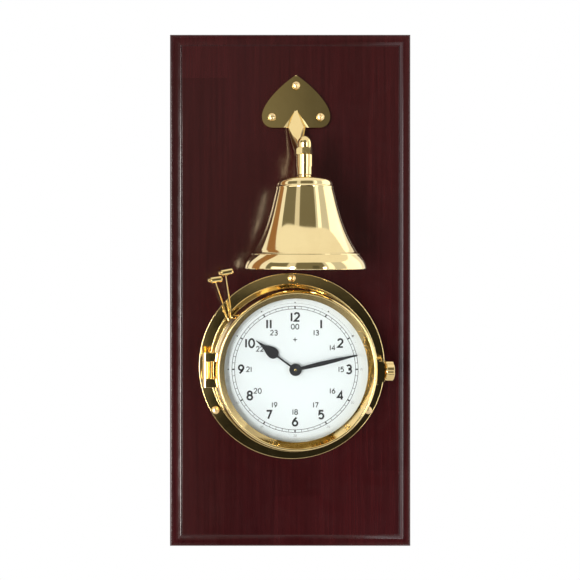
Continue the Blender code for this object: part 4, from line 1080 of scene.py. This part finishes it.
def make_hammer(label, hammer):
    route = [(right, out, up) for right, up, out in rod_route(hammer)]
    stand_in(swept(route, ROD_RADIUS), f"hammer_rod_{label}", HAMMER_AXIS)

    profile = [(0, -6.2), (1.2, -6.2, 0.2), (1.6, -5.8, 0.2), (1.6, -4.4, 0.2), (1.1, -4.0), (1.1, -3.7),
               (2.3, -3.7, 0.2), (2.8, -3.2, 0.3), (2.8, 6.4, 0.4), (2.0, 7.2, 0.4), (0, 7.2)]
    head = turned(rounded(profile), axis="right", sides=40)
    carve(head, swept([(0, -6.0, -6.0), (0, -2.0, -2.0), (0, 0.6, 0.6)], ROD_RADIUS + GAP))
    moved(head, Matrix.Rotation(math.radians(-hammer["tilt"]), 4, "Y"))
    right, up = polar(hammer["reach"], hammer["angle"])
    origin = (HAMMER_AXIS[0] + right, hammer["head_out"], HAMMER_AXIS[2] + up)
    stand_in(head, f"hammer_head_{label}", origin)


# ---- Inner pieces, which keep their CAD shapes ----

def finish_inner_pieces():
    """Give every CAD node its material, in place of the grey that it comes with."""
    for node, item in frame["nodes"].items():
        item.data.materials.clear()
        item.data.materials.append(LOOKS[SLOT_OF[node]])


# ---- Camera, floor and light -----------------

CAMERA_PLACE = (-106.7, 870.0, 34.8)     # left of the board and level with the bell's mouth
FOCAL_LENGTH, SENSOR = 53.75, 36.0
SHIFT = (0.1862, -0.0603)                # keeps the board in the frame without turning the camera


def make_camera():
    camera = bpy.data.objects.new("camera", bpy.data.cameras.new("camera"))
    bpy.context.scene.collection.objects.link(camera)
    camera.location = at(*CAMERA_PLACE)
    camera.rotation_euler = (math.radians(90.0), 0.0, 0.0)
    camera.data.sensor_width = SENSOR
    camera.data.lens = FOCAL_LENGTH
    camera.data.shift_x, camera.data.shift_y = SHIFT
    bpy.context.scene.camera = camera


def make_floor():
    """A pale disc below the object, out of the photograph's view."""
    profile = rounded([(0, -902.0), (1200.0, -902.0), (1200.0, -900.0), (0, -900.0)])
    floor = turned(profile, axis="up", sides=96)
    look = Look("pale_floor")
    mottle = look.noise(6.0, detail=3.0)
    colour = look.blend(look.span(mottle, 0.3, 0.7, 0.0, 1.0), (0.80, 0.80, 0.79), (0.77, 0.77, 0.765))
    floor.data.materials.append(look.finish(colour=colour, roughness=0.7))
    floor.name = "floor"


# Soft panels of light round the object, by azimuth from the front and by height, in degrees.
# Each is painted over the ones before: (left, right, low, high, softness, colour, brightness).
WARM, COOL, OLIVE, BROWN = (1.0, 0.98, 0.94), (0.97, 0.985, 1.0), (1.0, 0.94, 0.72), (1.0, 0.52, 0.25)
PANELS = [
    (-85.0, 79.0, -95.0, 95.0, 1.5, OLIVE, 0.20),   # the dark side of the room, behind the camera
    (7.5, 20.0, -20.0, 25.0, 2.0, OLIVE, 0.11),
    (1.0, 17.0, -95.0, -1.8, 1.2, OLIVE, 0.02),
    (31.0, 79.0, -60.0, 60.0, 1.2, COOL, 0.72),     # a wide pale wall to the right
    (38.0, 50.0, -50.0, 50.0, 2.0, COOL, 1.6),
    (77.0, 125.0, -70.0, 70.0, 4.0, WARM, 1.8),
    (-41.0, -25.0, -25.0, 60.0, 2.0, WARM, 0.80),   # the upright soft box, left of the camera
    (-72.0, -24.0, -25.0, 15.0, 3.0, WARM, 2.2),
    (-33.5, -26.5, -25.0, 15.0, 1.5, WARM, 34.0),
    (27.5, 33.0, -25.0, 15.0, 1.5, COOL, 8.0),      # a second, dimmer one on the right
]
# Wooden things beside the board, up to the ceiling
SHELVES = (-124.0, -100.0, -70.0, 62.0, 2.0, BROWN, 0.36)
# The ceiling starts at a height over its distance, and lower to the sides
CEILING_START, CEILING_SOFTNESS, CEILING_SIDE = 1.0, 0.035, 0.72


def make_light():
    """A room of soft panels, seen only in reflections and as light; behind the object it is white."""
    world = bpy.data.worlds.new("soft_studio")
    bpy.context.scene.world = world
    world.use_nodes = True
    world.node_tree.nodes.clear()
    look = Nodes(world.node_tree)

    direction = look.add("ShaderNodeTexCoord").outputs["Generated"]
    parts = look.add("ShaderNodeSeparateXYZ", {"Vector": direction}).outputs
    back = look.maths("MULTIPLY", parts["Y"], -1.0)
    azimuth = look.maths("DEGREES", look.maths("ARCTAN2", parts["X"], back))
    height = look.maths("DEGREES", look.maths("ARCSINE", parts["Z"]))

    def step_up(value, edge, softness):
        inputs = {"Value": value, "From Min": edge - softness, "From Max": edge + softness}
        return look.add("ShaderNodeMapRange", inputs, interpolation_type="SMOOTHSTEP").outputs[0]

    def paint(under, share, colour, brightness):
        mix = look.add("ShaderNodeMix", data_type="VECTOR")
        vectors = [socket for socket in mix.inputs if socket.type == "VECTOR" and socket.name in ("A", "B")]
        look.feed(mix.inputs["Factor"], share)
        look.feed(vectors[0], under)
        look.feed(vectors[1], tuple(part * brightness for part in colour))
        return next(socket for socket in mix.outputs if socket.type == "VECTOR")

    def paint_panel(under, left, right, low, high, softness, colour, brightness):
        inside = look.maths("MULTIPLY", step_up(azimuth, left, softness),
                            look.maths("SUBTRACT", 1.0, step_up(azimuth, right, softness)))
        level = look.maths("MULTIPLY", step_up(height, low, softness),
                           look.maths("SUBTRACT", 1.0, step_up(height, high, softness)))
        return paint(under, look.maths("MULTIPLY", inside, level), colour, brightness)

    radiance = look.add("ShaderNodeCombineXYZ", {"X": 1.0, "Y": 1.0, "Z": 1.0}).outputs[0]
    for panel in PANELS:
        radiance = paint_panel(radiance, *panel)
    beside = look.maths("MULTIPLY", parts["X"], CEILING_SIDE)
    away = look.maths("SQRT", look.maths("ADD", look.maths("MULTIPLY", back, back),
                                         look.maths("MULTIPLY", beside, beside)))
    slope = look.maths("DIVIDE", parts["Z"], look.maths("MAXIMUM", away, 0.001))
    radiance = paint(radiance, step_up(slope, CEILING_START, CEILING_SOFTNESS), WARM, 1.0)
    radiance = paint_panel(radiance, *SHELVES)

    lit = look.add("ShaderNodeBackground", {"Color": radiance, "Strength": 1.0}).outputs[0]
    plain = look.add("ShaderNodeBackground", {"Color": (1.0, 1.0, 1.0, 1.0), "Strength": 1.0}).outputs[0]
    seen = look.add("ShaderNodeLightPath").outputs["Is Camera Ray"]
    mix = look.add("ShaderNodeMixShader", {"Fac": seen})
    look.feed(mix.inputs[1], lit)
    look.feed(mix.inputs[2], plain)
    output = look.add("ShaderNodeOutputWorld")
    look.feed(output.inputs["Surface"], mix.outputs[0])
    bpy.context.scene.view_settings.view_transform = "Standard"


# ---- Assembly --------------------------------

make_camera()
finish_inner_pieces()
make_board()
make_hanger()
make_bell()
make_bracket()
make_case()
make_hinge()
make_door()
make_thumbscrew()
make_dial()
make_dial_print()
make_hands()
for hammer_label, hammer_sizes in HAMMERS.items():
    make_hammer(hammer_label, hammer_sizes)
make_floor()
make_light()
